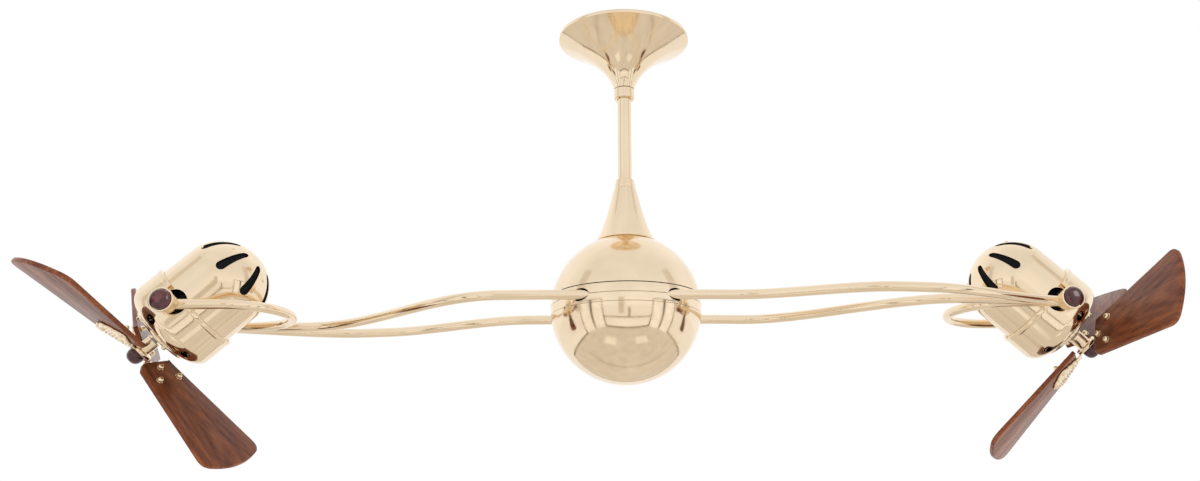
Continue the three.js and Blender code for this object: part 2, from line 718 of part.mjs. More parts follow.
function rearShell() {
  const outer = rearLine(0, REAR_MOUTH, 5);
  const inner = rearLine(HEAD_WALL, REAR_MOUTH, 3).reverse();
  const shell = revolved([...outer, ...inner], FINE);
  const vent = rearVentTool();
  const turns = Array.from({ length: REAR_VENT.count }, (_, i) => (360 * i) / REAR_VENT.count);
  return cut(shell, pivotHole(PIVOT_HOLE.radius), ...turns.map((turn) => vent.rotate([0, 0, turn])));
}

function frontShell() {
  const { rimRadius, radius, rimBack, rimWidth, rimBevel, shoulder } = FRONT_SHELL;
  const faceLine = (inset, count) =>
    Array.from({ length: count + 1 }, (_, i) => {
      const angle = (Math.PI / 2) * (i / count);
      const r = radius - inset - (radius - FRONT_FACE.radius) * (1 - Math.cos(angle));
      return [r, shoulder + (FRONT_FACE.reach - inset - shoulder) * Math.sin(angle)];
    });
  const innerRadius = REAR_SHELL.radius + SEAT_GAP;
  const inset = radius - innerRadius;
  const shell = revolved(
    [
      [rimRadius, -rimBack],
      [rimRadius, -rimBack + rimWidth],
      [radius, -rimBack + rimWidth + rimBevel],
      ...faceLine(0, 3),
      [FRONT_FACE.boreRadius, FRONT_FACE.reach],
      [FRONT_FACE.boreRadius, FRONT_FACE.reach - FRONT_FACE.wall],
      ...faceLine(inset, 2).reverse(),
      [innerRadius, -rimBack],
    ],
    FINE,
  );
  const slotHalf = PIVOT_HOLE.radius + PIVOT_HOLE.border;
  const slotBack = rimBack + 1;
  const slotLength = slotBack - PIVOT_HOLE.setBack;
  const slotMouth = block(0, 0, slotLength / 2 - slotBack, 2 * slotHalf, 2 * ACROSS_HEAD, slotLength);
  const turns = Array.from({ length: FRONT_VENT.count }, (_, i) => 90 + (360 * i) / FRONT_VENT.count);
  const vents = turns.map((turn) => frontVentTool().rotate([0, 0, turn]));
  return cut(shell, pivotHole(slotHalf), slotMouth, ...vents);
}

/** A round-ended slot across the front shell's rounded corner, cut in the direction of X. */
function frontVentTool() {
  const { halfWidth, halfLength, reach, innerRadius } = FRONT_VENT;
  const outline = new THREE.Shape();
  outline.absarc(0, halfLength - halfWidth, halfWidth, 0, Math.PI, false);
  outline.absarc(0, halfWidth - halfLength, halfWidth, Math.PI, 2 * Math.PI, false);
  return plate(outline, innerRadius, ACROSS_HEAD, 2).rotate([0, 90, 0]).translate([0, 0, reach]);
}

/** Where the pivots lie seen from the head axis: below it by the axis' rise. */
const pivotBore = (radius) => crossBar(radius, -ACROSS_HEAD, ACROSS_HEAD).translate([-AXIS_RISE, 0, 0]);

function motorFrame() {
  const outer = REAR_SHELL.radius - HEAD_WALL - SEAT_GAP;
  const innerRadius = MOTOR.radius + SEAT_GAP;
  const { halfHeight } = MOTOR_FRAME;
  return cut(
    bar(outer, -halfHeight, halfHeight, FINE),
    bar(innerRadius, -halfHeight - 1, halfHeight + 1),
    pivotBore(PIVOT_PIN_RADIUS + RUNNING_GAP),
  );
}

function motor() {
  const { radius, back, front, bevel, noseRadius, noseReach } = MOTOR;
  const body = revolved([
    [0, -back],
    [radius - bevel, -back],
    [radius, -back + bevel],
    [radius, front],
    [noseRadius, front],
    [noseRadius, noseReach],
    [0, noseReach],
  ]);
  return cut(body, bar(SHAFT.radius + RUNNING_GAP, SHAFT.back - RUNNING_GAP, noseReach + 1));
}

function facePlate() {
  const { radius, thickness, stepRadius, stepHeight, stepBevel } = FACE_PLATE;
  const foot = FRONT_FACE.reach + SEAT_GAP;
  const face = foot + thickness;
  const bore = SHAFT.radius + HEAD_CLEARANCE;
  const disc = revolved([
    [bore, foot],
    [radius, foot],
    [radius, face],
    [stepRadius, face],
    [stepRadius - stepBevel, face + stepHeight],
    [bore, face + stepHeight],
  ]);
  const nuts = Array.from({ length: FACE_NUT.count }, (_, i) => {
    const nut = bar(FACE_NUT.radius, face - thickness / 2, face + FACE_NUT.height, SMALL);
    return nut.translate([FACE_NUT.circle, 0, 0]).rotate([0, 0, (360 * (i + 0.5)) / FACE_NUT.count]);
  });
  return join(disc, ...nuts);
}

// ---- Fans: Z along the head axis, from the pivots ----

function motorShaft() {
  return bar(SHAFT.radius, SHAFT.back, FAN_HUB.front + SHAFT.tail);
}

function fanHub() {
  const { radius, bevel, back, front, flangeRadius, flangeHeight } = FAN_HUB;
  const hub = revolved([
    [0, back],
    [radius - bevel, back],
    [radius, back + bevel],
    [radius, front - flangeHeight],
    [flangeRadius, front - flangeHeight],
    [flangeRadius, front],
    [0, front],
  ]);
  return cut(hub, bar(SHAFT.radius + SEAT_GAP, back - 1, front + 1));
}

/** Leaf-shaped carrier of a blade, with its screws and nuts, lying on the blade's front. */
function bladeIron() {
  const { thickness, neckHalf, reach } = IRON;
  const from = BLADE.thickness / 2 + SEAT_GAP;
  const to = from + thickness;
  const root = FAN_HUB.flangeRadius + SEAT_GAP;
  const spine = block((root + reach) / 2, 0, (from + to) / 2, reach - root, 2 * neckHalf, thickness);
  const lobes = IRON_LOBES.flatMap(([x, y, radius]) =>
    [-y, y].map((across) => bar(radius, from, to, TUBE_SIDES).translate([x, across, 0])),
  );
  const screws = SCREW_PLACES.map(([x, y]) => screw(to - thickness / 4).translate([x, y, 0]));
  return join(spine, ...lobes, ...screws);
}

/** A screw from the leaf's face, through the blade, to a cap nut on the blade's rear. */
function screw(to) {
  const { radius, nutRadius, tail } = SCREW;
  const rear = -BLADE.thickness / 2;
  return revolved(
    [
      [0, rear - tail],
      [nutRadius, rear - tail],
      [nutRadius, rear - SEAT_GAP],
      [radius, rear - SEAT_GAP],
      [radius, to],
      [0, to],
    ],
    SMALL,
  );
}

function blade() {
  const { thickness, root, tip, rootHalf, tipHalf, rootCut, corner } = BLADE;
  const halfAt = (x) => rootHalf + ((tipHalf - rootHalf) * (x - root)) / (tip - root);
  const bowed = tip + BLADE_BOW.corner;
  const outline = new THREE.Shape();
  outline.moveTo(root, -rootHalf);
  outline.lineTo(tip - corner, -halfAt(tip - corner));
  outline.quadraticCurveTo(tip, -tipHalf, bowed, corner - tipHalf);
  outline.quadraticCurveTo(tip + BLADE_BOW.middle, 0, bowed, tipHalf - corner);
  outline.quadraticCurveTo(tip, tipHalf, tip - corner, halfAt(tip - corner));
  outline.lineTo(root + rootCut, halfAt(root + rootCut));
  outline.lineTo(root, rootHalf - rootCut);
  const board = plate(outline, -thickness / 2, thickness / 2, 4);
  const hole = ([x, y]) => bar(SCREW.radius + 2 * SEAT_GAP, -thickness, thickness, SMALL).translate([x, y, 0]);
  return cut(board, ...SCREW_PLACES.map(hole));
}

function hubCap() {
  const { radius, length, footBevel, edge, shoulder, crownHalf } = CAP;
  const foot = FAN_HUB.front + SHAFT.tail + SEAT_GAP;
  const top = foot + length;
  const dome = bend([radius, foot + edge], [radius, foot + shoulder], [crownHalf, top], [0, top], 3);
  return revolved([[0, foot], [radius - footBevel, foot], ...dome]);
}

// ---- Assembly ----

/** The fan of one head: everything that its motor spins. */
function fan(side) {
  const spun = groupAt(
    [0, 0, 0],
    piece(`${side}_motor_shaft`, motorShaft(), STEEL),
    piece(`${side}_fan_hub`, fanHub(), BRASS),
    piece(`${side}_hub_cap`, hubCap(), DARK_WOOD),
  );
  for (const i of [1, 2, 3]) {
    const pitched = groupAt(
      [0, 0, BLADE_PLANE],
      piece(`${side}_blade_${i}`, blade(), MAHOGANY),
      piece(`${side}_blade_iron_${i}`, bladeIron(), BRASS),
    );
    pitched.rotation.x = radians(BLADE_PITCH);
    const turned = groupAt([0, 0, 0], pitched);
    turned.rotation.z = radians(FAN_PHASE[side] + 120 * (i - 1));
    spun.add(turned);
  }
  return spun;
}

/** One motor head with its fan, tilted about its pivots. */
function head(side) {
  const onAxis = groupAt(
    [AXIS_RISE, 0, 0],
    piece(`${side}_rear_shell`, rearShell(), BRASS),
    piece(`${side}_front_shell`, frontShell(), BRASS),
    piece(`${side}_motor_frame`, motorFrame(), DARK_STEEL),
    piece(`${side}_motor`, motor(), BLACK),
    piece(`${side}_face_plate`, facePlate(), BRASS),
    fan(side),
  );
  const tilted = groupAt([-HEAD_REACH, 0, pivotZ], onAxis);
  tilted.rotation.y = Math.PI + radians(REST_TILT);
  return tilted;
}

/** Everything on one side, built as the left one; the right one is the same turned half round. */
function sideOf(side) {
  const turned = side === "right";
  const armSide = turned ? "front" : "back";
  const freeSide = turned ? "back" : "front";
  const crossingName = `${side}_${freeSide}_arm`;
  const bowedName = `${side}_${armSide}_arm`;
  const crossingRoom = tube(new ArmLine(crossingArmY), TUBE_RADIUS + SEAT_GAP, ARM_STEPS);
  const pivots = groupAt(
    [-HEAD_REACH, 0, pivotZ],
    piece(`${side}_yoke`, yoke(), BRASS),
    piece(`${side}_${armSide}_cup`, pivotCup(1), BRASS),
    piece(`${side}_${freeSide}_cup`, pivotCup(-1), BRASS),
    piece(`${side}_${armSide}_finial`, finial(1), DARK_WOOD),
    piece(`${side}_${freeSide}_finial`, finial(-1), DARK_WOOD),
  );
  const whole = groupAt(
    [0, 0, 0],
    piece(crossingName, arm(crossingArmY), BRASS),
    piece(bowedName, arm(bowedArmY, crossingRoom), BRASS),
    pivots,
    head(side),
  );
  whole.rotation.z = turned ? Math.PI : 0;
  return whole;
}

const fitting = groupAt(
  [0, 0, 0],
  piece("mounting_bracket", mountingBracket(), STEEL),
  piece("canopy", canopy(), BRASS),
  piece("canopy_collar", canopyCollar(), BRASS),
  piece("downrod", downrod(), BRASS),
  piece("neck_collar", neckCollar(), BRASS),
  piece("neck_cover", neckCover(), BRASS),
);

const hanger = groupAt(
  [0, 0, -BALL_DROP],
  piece("hanger_ball", hangerBall(), BLACK),
  piece("hanger_pin", hangerPin(), STEEL),
);

const fixedSphere = groupAt(
  [0, 0, -SPHERE_DROP],
  piece("coupling", coupling(), STEEL),
  piece("upper_dome", upperDome(), BRASS),
  piece("spindle", spindle(), STEEL),
  piece("slip_ring", slipRing(), PHENOLIC),
);

const rotor = groupAt(
  [0, 0, -SPHERE_DROP],
  piece("upper_ring", upperRing(), BRASS),
  piece("lower_ring", lowerRing(), BRASS),
  piece("lower_bowl", lowerBowl(), BRASS),
  piece("arm_hub", armHub(), STEEL),
  piece("rotor_bearing", rotorBearing(), STEEL),
  piece("brush_block", brushBlock(), PHENOLIC),
  sideOf("left"),
  sideOf("right"),
);

export default groupAt([0, 0, 0], fitting, hanger, fixedSphere, rotor);
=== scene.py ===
"""Twin head ceiling fan: smooth polished brass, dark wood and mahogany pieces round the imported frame.
Metres, +Z up. The origin is the middle of the mounting plate's top face, against the ceiling."""
import json
from math import acos, asin, copysign, cos, hypot, pi, radians, sin, sqrt, tau

import bmesh
import bpy
from mathutils import Matrix, Vector

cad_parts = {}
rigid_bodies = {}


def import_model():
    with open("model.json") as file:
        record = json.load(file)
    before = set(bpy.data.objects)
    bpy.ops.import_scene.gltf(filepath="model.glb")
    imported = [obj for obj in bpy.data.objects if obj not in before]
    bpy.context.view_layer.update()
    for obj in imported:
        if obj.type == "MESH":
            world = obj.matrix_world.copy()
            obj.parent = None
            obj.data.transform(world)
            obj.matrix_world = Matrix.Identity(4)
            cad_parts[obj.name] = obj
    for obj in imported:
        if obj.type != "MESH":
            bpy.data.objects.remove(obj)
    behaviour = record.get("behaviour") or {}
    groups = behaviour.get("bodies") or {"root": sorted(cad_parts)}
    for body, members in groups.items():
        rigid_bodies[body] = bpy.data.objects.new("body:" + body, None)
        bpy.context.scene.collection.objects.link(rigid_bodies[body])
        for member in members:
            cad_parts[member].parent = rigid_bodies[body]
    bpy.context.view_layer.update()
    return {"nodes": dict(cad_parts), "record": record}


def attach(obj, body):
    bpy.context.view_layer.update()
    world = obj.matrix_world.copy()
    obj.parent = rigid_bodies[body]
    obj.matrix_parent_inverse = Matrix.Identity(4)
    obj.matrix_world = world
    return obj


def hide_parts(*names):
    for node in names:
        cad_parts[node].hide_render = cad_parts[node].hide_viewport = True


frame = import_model()

# ---- Sizes ----
SPHERE_Z = -0.394
SPHERE_RADIUS = 0.1
SHELL_WALL = 0.0018
SEEN_DEPTH = 0.0014
CANOPY = {"rim": 0.0915, "rim_height": 0.005, "neck": 0.014, "depth": 0.078, "wall": 0.0014}
CANOPY_FLARE = [(0.020, -0.055), (0.042, -0.030)]
CANOPY_ROLL = 0.0004
COLLAR = {"radius": 0.0142, "height": 0.015, "rounding": 0.0016}
ROD = {"radius": 0.0095, "wall": 0.002, "top": -0.01, "bottom": -0.2827}
NECK = {"foot": 0.04, "top_radius": 0.0151, "top": -0.213, "wall": 0.0016, "lap": 0.0032}
NECK_WAIST = [0.0264, 0.022]
NECK_COLLAR = {"radius": 0.0139, "height": 0.013, "step": 0.0012}
SEAT_GAP = 0.0003
DOME_BORE = 0.0083
GROOVE_Z = 0.0154
GROOVE_HALF = 0.0005
ARM_Z = 0.0025
RING_FOOT = -0.0093
RING_WALL = 0.003
TUBE_RADIUS = 0.00635
RING_SCREW = {"count": 2, "height": 0.009, "radius": 0.0017, "crown": 0.0007}
ARM_HOLE_RADIUS = 0.0083
ARM_SPREAD = 0.0783
HEAD_REACH = 0.566
HEAD_SAG = 0.0093
ARM_LANDING = 0.083
SWELL_WIDTH = 0.061
CROSSING = {"start": 0.14, "end": 0.7, "yoke": 0.795}
BOWED = {"start": 0.075, "out": 0.505, "back": 0.57, "end": 1.05}
ARM_ENDS = {"inner": 0.005, "outer": 0.008}
YOKE = {"leg": 0.0727, "reach": 0.1285}
CUP = {"radius": 0.014, "rim": 0.0152, "rim_height": 0.002, "length": 0.0213, "face": 0.1003}
CUP_WELL = {"radius": 0.013, "depth": 0.006}
CUP_NECK = {"radius": 0.0095, "foot": 0.0653}
PIN = {"radius": 0.005, "inner": 0.0502}
FINIAL = {"radius": 0.0126, "crown": 0.007}
REST_TILT = radians(47.5)
AXIS_RISE = 0.0041
REAR_SHELL = {"radius": 0.0587, "pole": -0.1131, "dome": 0.0549, "mouth": 0.017}
DOME_START = REAR_SHELL["pole"] + REAR_SHELL["dome"]
HEAD_WALL = 0.0015
FRONT_SHELL = {"rim": 0.0641, "radius": 0.0632, "back": -0.0149, "rim_width": 0.005, "shoulder": 0.0201}
FRONT_FACE = {"reach": 0.0397, "radius": 0.037, "bore": 0.03, "wall": 0.0025}
PIVOT_HOLE = {"radius": 0.016, "back": 0.005, "border": 0.0035}
REAR_VENT = {"count": 8, "wide": 0.0062, "narrow": 0.0041, "near": 0.0757, "far": 0.103}
SHADE_SHEET = {"radius": 0.0566, "depth": 0.0528, "wall": 0.001}
DOME_SCREW = {"count": 4, "at": 0.099, "radius": 0.0022, "height": 0.0012}
FRONT_VENT = {"count": 6, "reach": 0.029, "half_width": 0.0042, "half_length": 0.007, "inner": 0.04}
FACE_PLATE = {"radius": 0.04, "thickness": 0.003, "step": 0.026, "step_height": 0.0035}
FACE_NUT = {"count": 4, "radius": 0.003, "height": 0.004, "circle": 0.036}
SHAFT = {"radius": 0.00475, "back": 0.03, "tail": 0.001}
FAN_HUB = {"radius": 0.0095, "back": 0.051, "front": 0.073, "flange": 0.0155, "flange_height": 0.004}
BLADE_PLANE = 0.0708
BLADE_PITCH = radians(23.6)
BLADE = {"thickness": 0.006, "root": 0.022, "tip": 0.185, "root_half": 0.028, "tip_half": 0.057}
BLADE_TIP = {"corner": 0.014, "corner_bow": 0.0045, "middle_bow": 0.0195}
BLADE_ROOT_CUT = 0.009
IRON = {"thickness": 0.0024, "neck": 0.007, "neck_end": 0.032, "spine": 0.0012, "reach": 0.074}
BEAD = {"radius": 0.0012, "spacing": 0.0044, "inset": 0.0026, "first": 0.026}
STUD_RADIUS = 0.0019
NUT_RADIUS = 0.0046
HEAD_RADIUS = 0.0034
LEAF_LOBES = [
    (0.026, 0, 0.008), (0.034, 0.005, 0.0085), (0.043, 0.010, 0.009), (0.054, 0.0155, 0.0108),
    (0.0635, 0.008, 0.0078), (0.0685, 0, 0.0054),
]
SCREW_PLACES = [(0.034, 0.0), (0.053, 0.018), (0.053, -0.018)]
CAP = {"radius": 0.011, "length": 0.016}
FAN_PHASE = {"left": radians(180), "right": radians(71.2)}
FLOOR_Z = -2.4
FLOOR_HALF = 25
FLOOR_GLOW = 0.42
AMBIENT = 0.6
ROOM_CENTRE = (0, 0, -0.4)
SMOOTH_ANGLE = radians(38)
VENT_TOOL_START = 0.016
TOOL_REACH = 0.07

# ---- Frames ----
SIDES = {"left": Matrix.Identity(4), "right": Matrix.Rotation(pi, 4, "Z")}
# The pieces of a side are named by where they end up: the side's own +Y and -Y.
END_NAMES = {"left": {1: "back", -1: "front"}, "right": {1: "front", -1: "back"}}
PIVOT = Matrix.Translation((-HEAD_REACH, 0, SPHERE_Z + ARM_Z - HEAD_SAG))
ON_AXIS = PIVOT @ Matrix.Rotation(pi + REST_TILT, 4, "Y") @ Matrix.Translation((AXIS_RISE, 0, 0))
SPHERE = Matrix.Translation((0, 0, SPHERE_Z))
UPRIGHT = Matrix.Identity(4)
STOOD_UP = Matrix.Rotation(pi / 2, 4, "X")
OUTWARDS = Matrix.Rotation(pi / 2, 4, "Z") @ STOOD_UP


def at_pivot(side, end):
    """A pivot's place, with Z outwards, and the name of its end."""
    return SIDES[side] @ PIVOT @ Matrix.Rotation(radians(-90 * end), 4, "X"), END_NAMES[side][end]


def on_axis(side):
    """A head's own place, with Z along its axis towards the fan."""
    return SIDES[side] @ ON_AXIS


# ---- Outlines ----


def weighted(weights, points):
    return tuple(sum(w * p[k] for w, p in zip(weights, points)) for k in (0, 1))


def bezier(a, b, c, d, steps):
    """Points of a cubic curve from a to d."""
    points = []
    for i in range(steps + 1):
        t = i / steps
        u = 1 - t
        points.append(weighted((u ** 3, 3 * u * u * t, 3 * u * t * t, t ** 3), (a, b, c, d)))
    return points


def pulled(a, b, c, steps):
    """Points of a curve from a to c, pulled towards b."""
    shares = [i / steps for i in range(steps + 1)]
    return [weighted(((1 - t) ** 2, 2 * t * (1 - t), t * t), (a, b, c)) for t in shares]


def arc(middle, radii, start, end, steps):
    """Points of a circle's or an ellipse's arc between two angles."""
    angles = [start + (end - start) * i / steps for i in range(steps + 1)]
    return [(middle[0] + radii[0] * cos(a), middle[1] + radii[1] * sin(a)) for a in angles]


def bar(radius, low, high):
    """A solid bar's outline."""
    return [(0, low), (radius, low), (radius, high), (0, high)]


def domed(foot, edge, swell, crown, steps=8):
    """A domed head's outline: its foot, then a curve from its edge up to its crown."""
    return [(0, foot), (edge[0], foot), *bezier(edge, swell, crown, (0, crown[1]), steps)]


def filleted(points, steps=5):
    """An outline in which each (x, y, size) corner is rounded off."""
    rounded = []
    for i, (x, y, *size) in enumerate(points):
        if not size:
            rounded.append((x, y))
            continue
        ends = []
        for other in (points[i - 1], points[(i + 1) % len(points)]):
            length = hypot(other[0] - x, other[1] - y)
            share = min(size[0] / length, 0.48)
            ends.append((x + (other[0] - x) * share, y + (other[1] - y) * share))
        rounded += pulled(ends[0], (x, y), ends[1], steps)
    return rounded


def walled(line, wall):
    """A closed outline: a line, and back along it one wall further in."""
    inner = []
    for i, (r, z) in enumerate(line):
        r0, z0 = line[max(i - 1, 0)]
        r1, z1 = line[min(i + 1, len(line) - 1)]
        length = hypot(r1 - r0, z1 - z0)
        inner.append((r - wall * (z1 - z0) / length, z + wall * (r1 - r0) / length))
    return line + inner[::-1]


# ---- Meshes ----


def linked(name, data):
    """An object of a mesh, a lamp or a camera, in the scene."""
    made = bpy.data.objects.new(name, data)
    bpy.context.scene.collection.objects.link(made)
    return made


def plain(name, vertices, edges=(), faces=()):
    """A mesh object made of plain lists."""
    mesh = bpy.data.meshes.new(name)
    mesh.from_pydata(vertices, edges, faces)
    return linked(name, mesh)


def solid(name, vertices, faces, place=UPRIGHT):
    """An object of a closed mesh, merged, with its faces outwards and its place in its mesh."""
    made = plain(name, [place @ Vector(v) for v in vertices], faces=faces)
    merged = bmesh.new()
    merged.from_mesh(made.data)
    bmesh.ops.remove_doubles(merged, verts=merged.verts, dist=1e-6)
    bmesh.ops.dissolve_degenerate(merged, edges=merged.edges, dist=1e-7)
    bmesh.ops.recalc_face_normals(merged, faces=merged.faces)
    merged.to_mesh(made.data)
    merged.free()
    shade(made.data)
    return made


def shade(mesh):
    """Smooth shading that keeps the sharp corners."""
    mesh.shade_smooth()
    mesh.set_sharp_from_angle(angle=SMOOTH_ANGLE)


def lathe(name, outline, place=UPRIGHT, segments=128):
    """A closed outline of (radius, height) points turned round Z."""
    count = len(outline)
    turns = [tau * k / segments for k in range(segments)]
    vertices = [(r * cos(a), r * sin(a), z) for a in turns for r, z in outline]
    faces = []
    for k in range(segments):
        here, there = k * count, (k + 1) % segments * count
        for i in range(count):
            j = (i + 1) % count
            off_axis = [there + n for n in (j, i) if outline[n][0] >= 1e-7]
            if off_axis:
                faces.append([here + i, here + j, *off_axis])
    return solid(name, vertices, faces, place)


def slab(name, outline, low, high, place=UPRIGHT, bevel=0.0, bevel_steps=3):
    """A plate with a flat (x, y) outline between two heights, with its edges rounded."""
    count = len(outline)
    vertices = [(x, y, z) for z in (low, high) for x, y in outline]
    sides = [(i, (i + 1) % count, count + (i + 1) % count, count + i) for i in range(count)]
    made = solid(name, vertices, [tuple(reversed(range(count))), tuple(range(count, 2 * count)), *sides])
    if bevel:
        work = bmesh.new()
        work.from_mesh(made.data)
        rims = [e for e in work.edges if abs(e.verts[0].co.z - e.verts[1].co.z) < 1e-9]
        bmesh.ops.bevel(work, geom=rims, offset=bevel, segments=bevel_steps, affect="EDGES", profile=0.5)
        work.to_mesh(made.data)
        work.free()
        shade(made.data)
    made.data.transform(place)
    return made


def paint_shade(piece, in_shade):
    """Gives the faces that a test picks out the near-black painted shade of the inside."""
    if not piece.data.materials:
        piece.data.materials.append(BRASS)
    piece.data.materials.append(INSIDE_SHADE)
    for face in piece.data.polygons:
        if in_shade(face):
            face.material_index = 1


def paint_core_shade(piece):
    """Paints shade, near black, on what lies deeper in the sphere than can be seen from outside."""
    middle = Vector((0, 0, SPHERE_Z))
    paint_shade(piece, lambda face: (face.center - middle).length < SPHERE_RADIUS - SEEN_DEPTH)


def joined(name, parts):
    """Several meshes as one object; the parts are used up."""
    merged = bmesh.new()
    for part in parts:
        merged.from_mesh(part.data)
        bpy.data.objects.remove(part)
    mesh = bpy.data.meshes.new(name)
    merged.to_mesh(mesh)
    merged.free()
    shade(mesh)
    return linked(name, mesh)


# ---- Finishes ----


def finish(name, **sockets):
    """A material with its shader; constants are set on the shader's own sockets."""
    material = bpy.data.materials.new(name)
    material.use_nodes = True
    shader = material.node_tree.nodes["Principled BSDF"]
    for socket, value in sockets.items():
        shader.inputs[socket.replace("_", " ")].default_value = value
    return material, material.node_tree, shader


def add_node(tree, kind, inputs=None, **settings):
    """A node with its settings; an input is a socket to link or a value."""
    made = tree.nodes.new(kind)
    for setting, value in settings.items():
        setattr(made, setting, value)
    for key, value in (inputs or {}).items():
        if isinstance(value, bpy.types.NodeSocket):
            tree.links.new(value, made.inputs[key])
        else:
            made.inputs[key].default_value = value
    return made


def socket_of(tree, kind, inputs=None, output=0, **settings):
    """An output of a new node."""
    return add_node(tree, kind, inputs, **settings).outputs[output]


def calculate(tree, operation, *values):
    return socket_of(tree, "ShaderNodeMath", dict(enumerate(values)), operation=operation)


def noise(tree, vector, scale, detail=3.0, roughness=0.5, distortion=0.0):
    inputs = {"Vector": vector, "Scale": scale, "Detail": detail, "Roughness": roughness}
    return socket_of(tree, "ShaderNodeTexNoise", {**inputs, "Distortion": distortion})


def ramp(tree, factor, *stops):
    """A colour ramp of (place, colour) stops."""
    made = add_node(tree, "ShaderNodeValToRGB", {"Fac": factor})
    elements = made.color_ramp.elements
    while len(elements) < len(stops):
        elements.new(0.5)
    for element, (place, colour) in zip(elements, stops):
        element.position = place
        element.color = (*colour, 1)
    return made.outputs["Color"]


def spread(tree, value, low, high, from_low=0.3, from_high=0.7):
    """A value moved into a range."""
    inputs = {"Value": value, "From Min": from_low, "From Max": from_high, "To Min": low, "To Max": high}
    return socket_of(tree, "ShaderNodeMapRange", inputs)


def mixed(tree, share, one, other):
    """A value between two others."""
    return socket_of(tree, "ShaderNodeMix", {0: share, 2: one, 3: other}, data_type="FLOAT")


def bump(tree, shader, height, strength, distance):
    inputs = {"Height": height, "Strength": strength, "Distance": distance}
    tree.links.new(socket_of(tree, "ShaderNodeBump", inputs), shader.inputs["Normal"])


def coordinates(tree, output="Object"):
    return socket_of(tree, "ShaderNodeTexCoord", output=output)


def stretched(tree, vector, scale):
    return socket_of(tree, "ShaderNodeMapping", {"Vector": vector, "Scale": scale})


def polished_brass():
    """Pale lacquered brass, a little cloudy, with faint waves from polishing."""
    material, tree, shader = finish("polished_brass", Metallic=1.0)
    place = coordinates(tree)
    clouds = noise(tree, place, 11.0, 4.0)
    colour = ramp(tree, clouds, (0.35, (0.875, 0.71, 0.505)), (0.65, (0.925, 0.76, 0.555)))
    tree.links.new(colour, shader.inputs["Base Color"])
    handling = noise(tree, place, 70.0, 4.0, 0.6)
    tree.links.new(spread(tree, handling, 0.07, 0.15), shader.inputs["Roughness"])
    bump(tree, shader, noise(tree, place, 26.0, 2.0), 0.12, 0.0006)
    return material


def worked_steel(name, colour, low, high):
    """Plain machined or painted steel, brushed unevenly."""
    material, tree, shader = finish(name, Metallic=0.9)
    place = coordinates(tree)
    grime = noise(tree, place, 45.0, 5.0, 0.6)
    darker = tuple(0.7 * c for c in colour)
    tree.links.new(ramp(tree, grime, (0.3, darker), (0.7, colour)), shader.inputs["Base Color"])
    tree.links.new(spread(tree, grime, low, high), shader.inputs["Roughness"])
    bump(tree, shader, noise(tree, place, 400.0, 2.0), 0.15, 0.0002)
    return material


def moulded(name, colour, roughness, grain_scale, ior=1.45):
    """Moulded or painted pieces with a fine grain."""
    material, tree, shader = finish(name, Metallic=0.0, IOR=ior)
    place = coordinates(tree)
    mottle = noise(tree, place, grain_scale, 5.0, 0.65)
    lighter = tuple(min(1.0, 1.5 * c + 0.004) for c in colour)
    tree.links.new(ramp(tree, mottle, (0.3, colour), (0.75, lighter)), shader.inputs["Base Color"])
    tree.links.new(spread(tree, mottle, roughness - 0.08, roughness + 0.08), shader.inputs["Roughness"])
    bump(tree, shader, noise(tree, place, 4 * grain_scale, 2.0), 0.2, 0.0002)
    return material


def mahogany():
    """Varnished mahogany: dark streaks, growth lines and fine pores along each blade."""
    coat = {"Coat_Weight": 0.35, "Coat_Roughness": 0.14, "Coat_IOR": 1.26}
    material, tree, shader = finish("mahogany", Metallic=0.0, IOR=1.24, **coat)
    own_place, board = (
        socket_of(tree, "ShaderNodeAttribute", output="Vector", attribute_name=name)
        for name in ("grain", "board")
    )
    moved = {0: board, 1: (0, 0, 3.7), 2: own_place}
    grain = socket_of(tree, "ShaderNodeVectorMath", moved, operation="MULTIPLY_ADD")
    streaks = noise(tree, stretched(tree, grain, (7.0, 55.0, 55.0)), 1.0, 6.0, 0.62, 0.6)
    warp = noise(tree, stretched(tree, grain, (4.0, 16.0, 16.0)), 1.0, 2.0, 0.5, 0.3)
    spot = add_node(tree, "ShaderNodeSeparateXYZ", {"Vector": grain}).outputs
    leaning = calculate(tree, "MULTIPLY_ADD", spot["X"], -0.10, calculate(tree, "MULTIPLY", warp, 0.010))
    arches = calculate(tree, "MULTIPLY_ADD", calculate(tree, "MULTIPLY", spot["Y"], spot["Y"]), 6.0, leaning)
    lines = calculate(tree, "SINE", calculate(tree, "MULTIPLY", arches, 1500.0))
    figure = calculate(tree, "MULTIPLY_ADD", lines, 0.055, streaks)
    wood = ramp(
        tree, figure,
        (0.30, (0.080, 0.019, 0.008)),
        (0.48, (0.152, 0.041, 0.014)),
        (0.66, (0.238, 0.070, 0.023)),
    )
    pores = noise(tree, stretched(tree, grain, (90.0, 900.0, 900.0)), 1.0, 2.0)
    toned = {0: 1.0, 6: wood, 7: spread(tree, pores, 0.55, 1.0, 0.36, 0.46)}
    colour = socket_of(tree, "ShaderNodeMix", toned, 2, data_type="RGBA", blend_type="MULTIPLY")
    tree.links.new(colour, shader.inputs["Base Color"])
    tree.links.new(spread(tree, streaks, 0.5, 0.36), shader.inputs["Roughness"])
    bump(tree, shader, pores, 0.12, 0.0002)
    return material


def dark_wood():
    """Red-brown turned wood under a thick gloss."""
    coat = {"Coat_Weight": 1.0, "Coat_Roughness": 0.04, "Coat_IOR": 1.36}
    material, tree, shader = finish("dark_wood", Metallic=0.0, Roughness=0.25, IOR=1.35, **coat)
    figure = noise(tree, stretched(tree, coordinates(tree), (60, 220, 60)), 1.0, 5.0, 0.6, 0.8)
    colour = ramp(
        tree, figure,
        (0.32, (0.016, 0.004, 0.006)),
        (0.52, (0.050, 0.011, 0.014)),
        (0.70, (0.140, 0.032, 0.036)),
    )
    tree.links.new(colour, shader.inputs["Base Color"])
    bump(tree, shader, figure, 0.05, 0.0003)
    return material


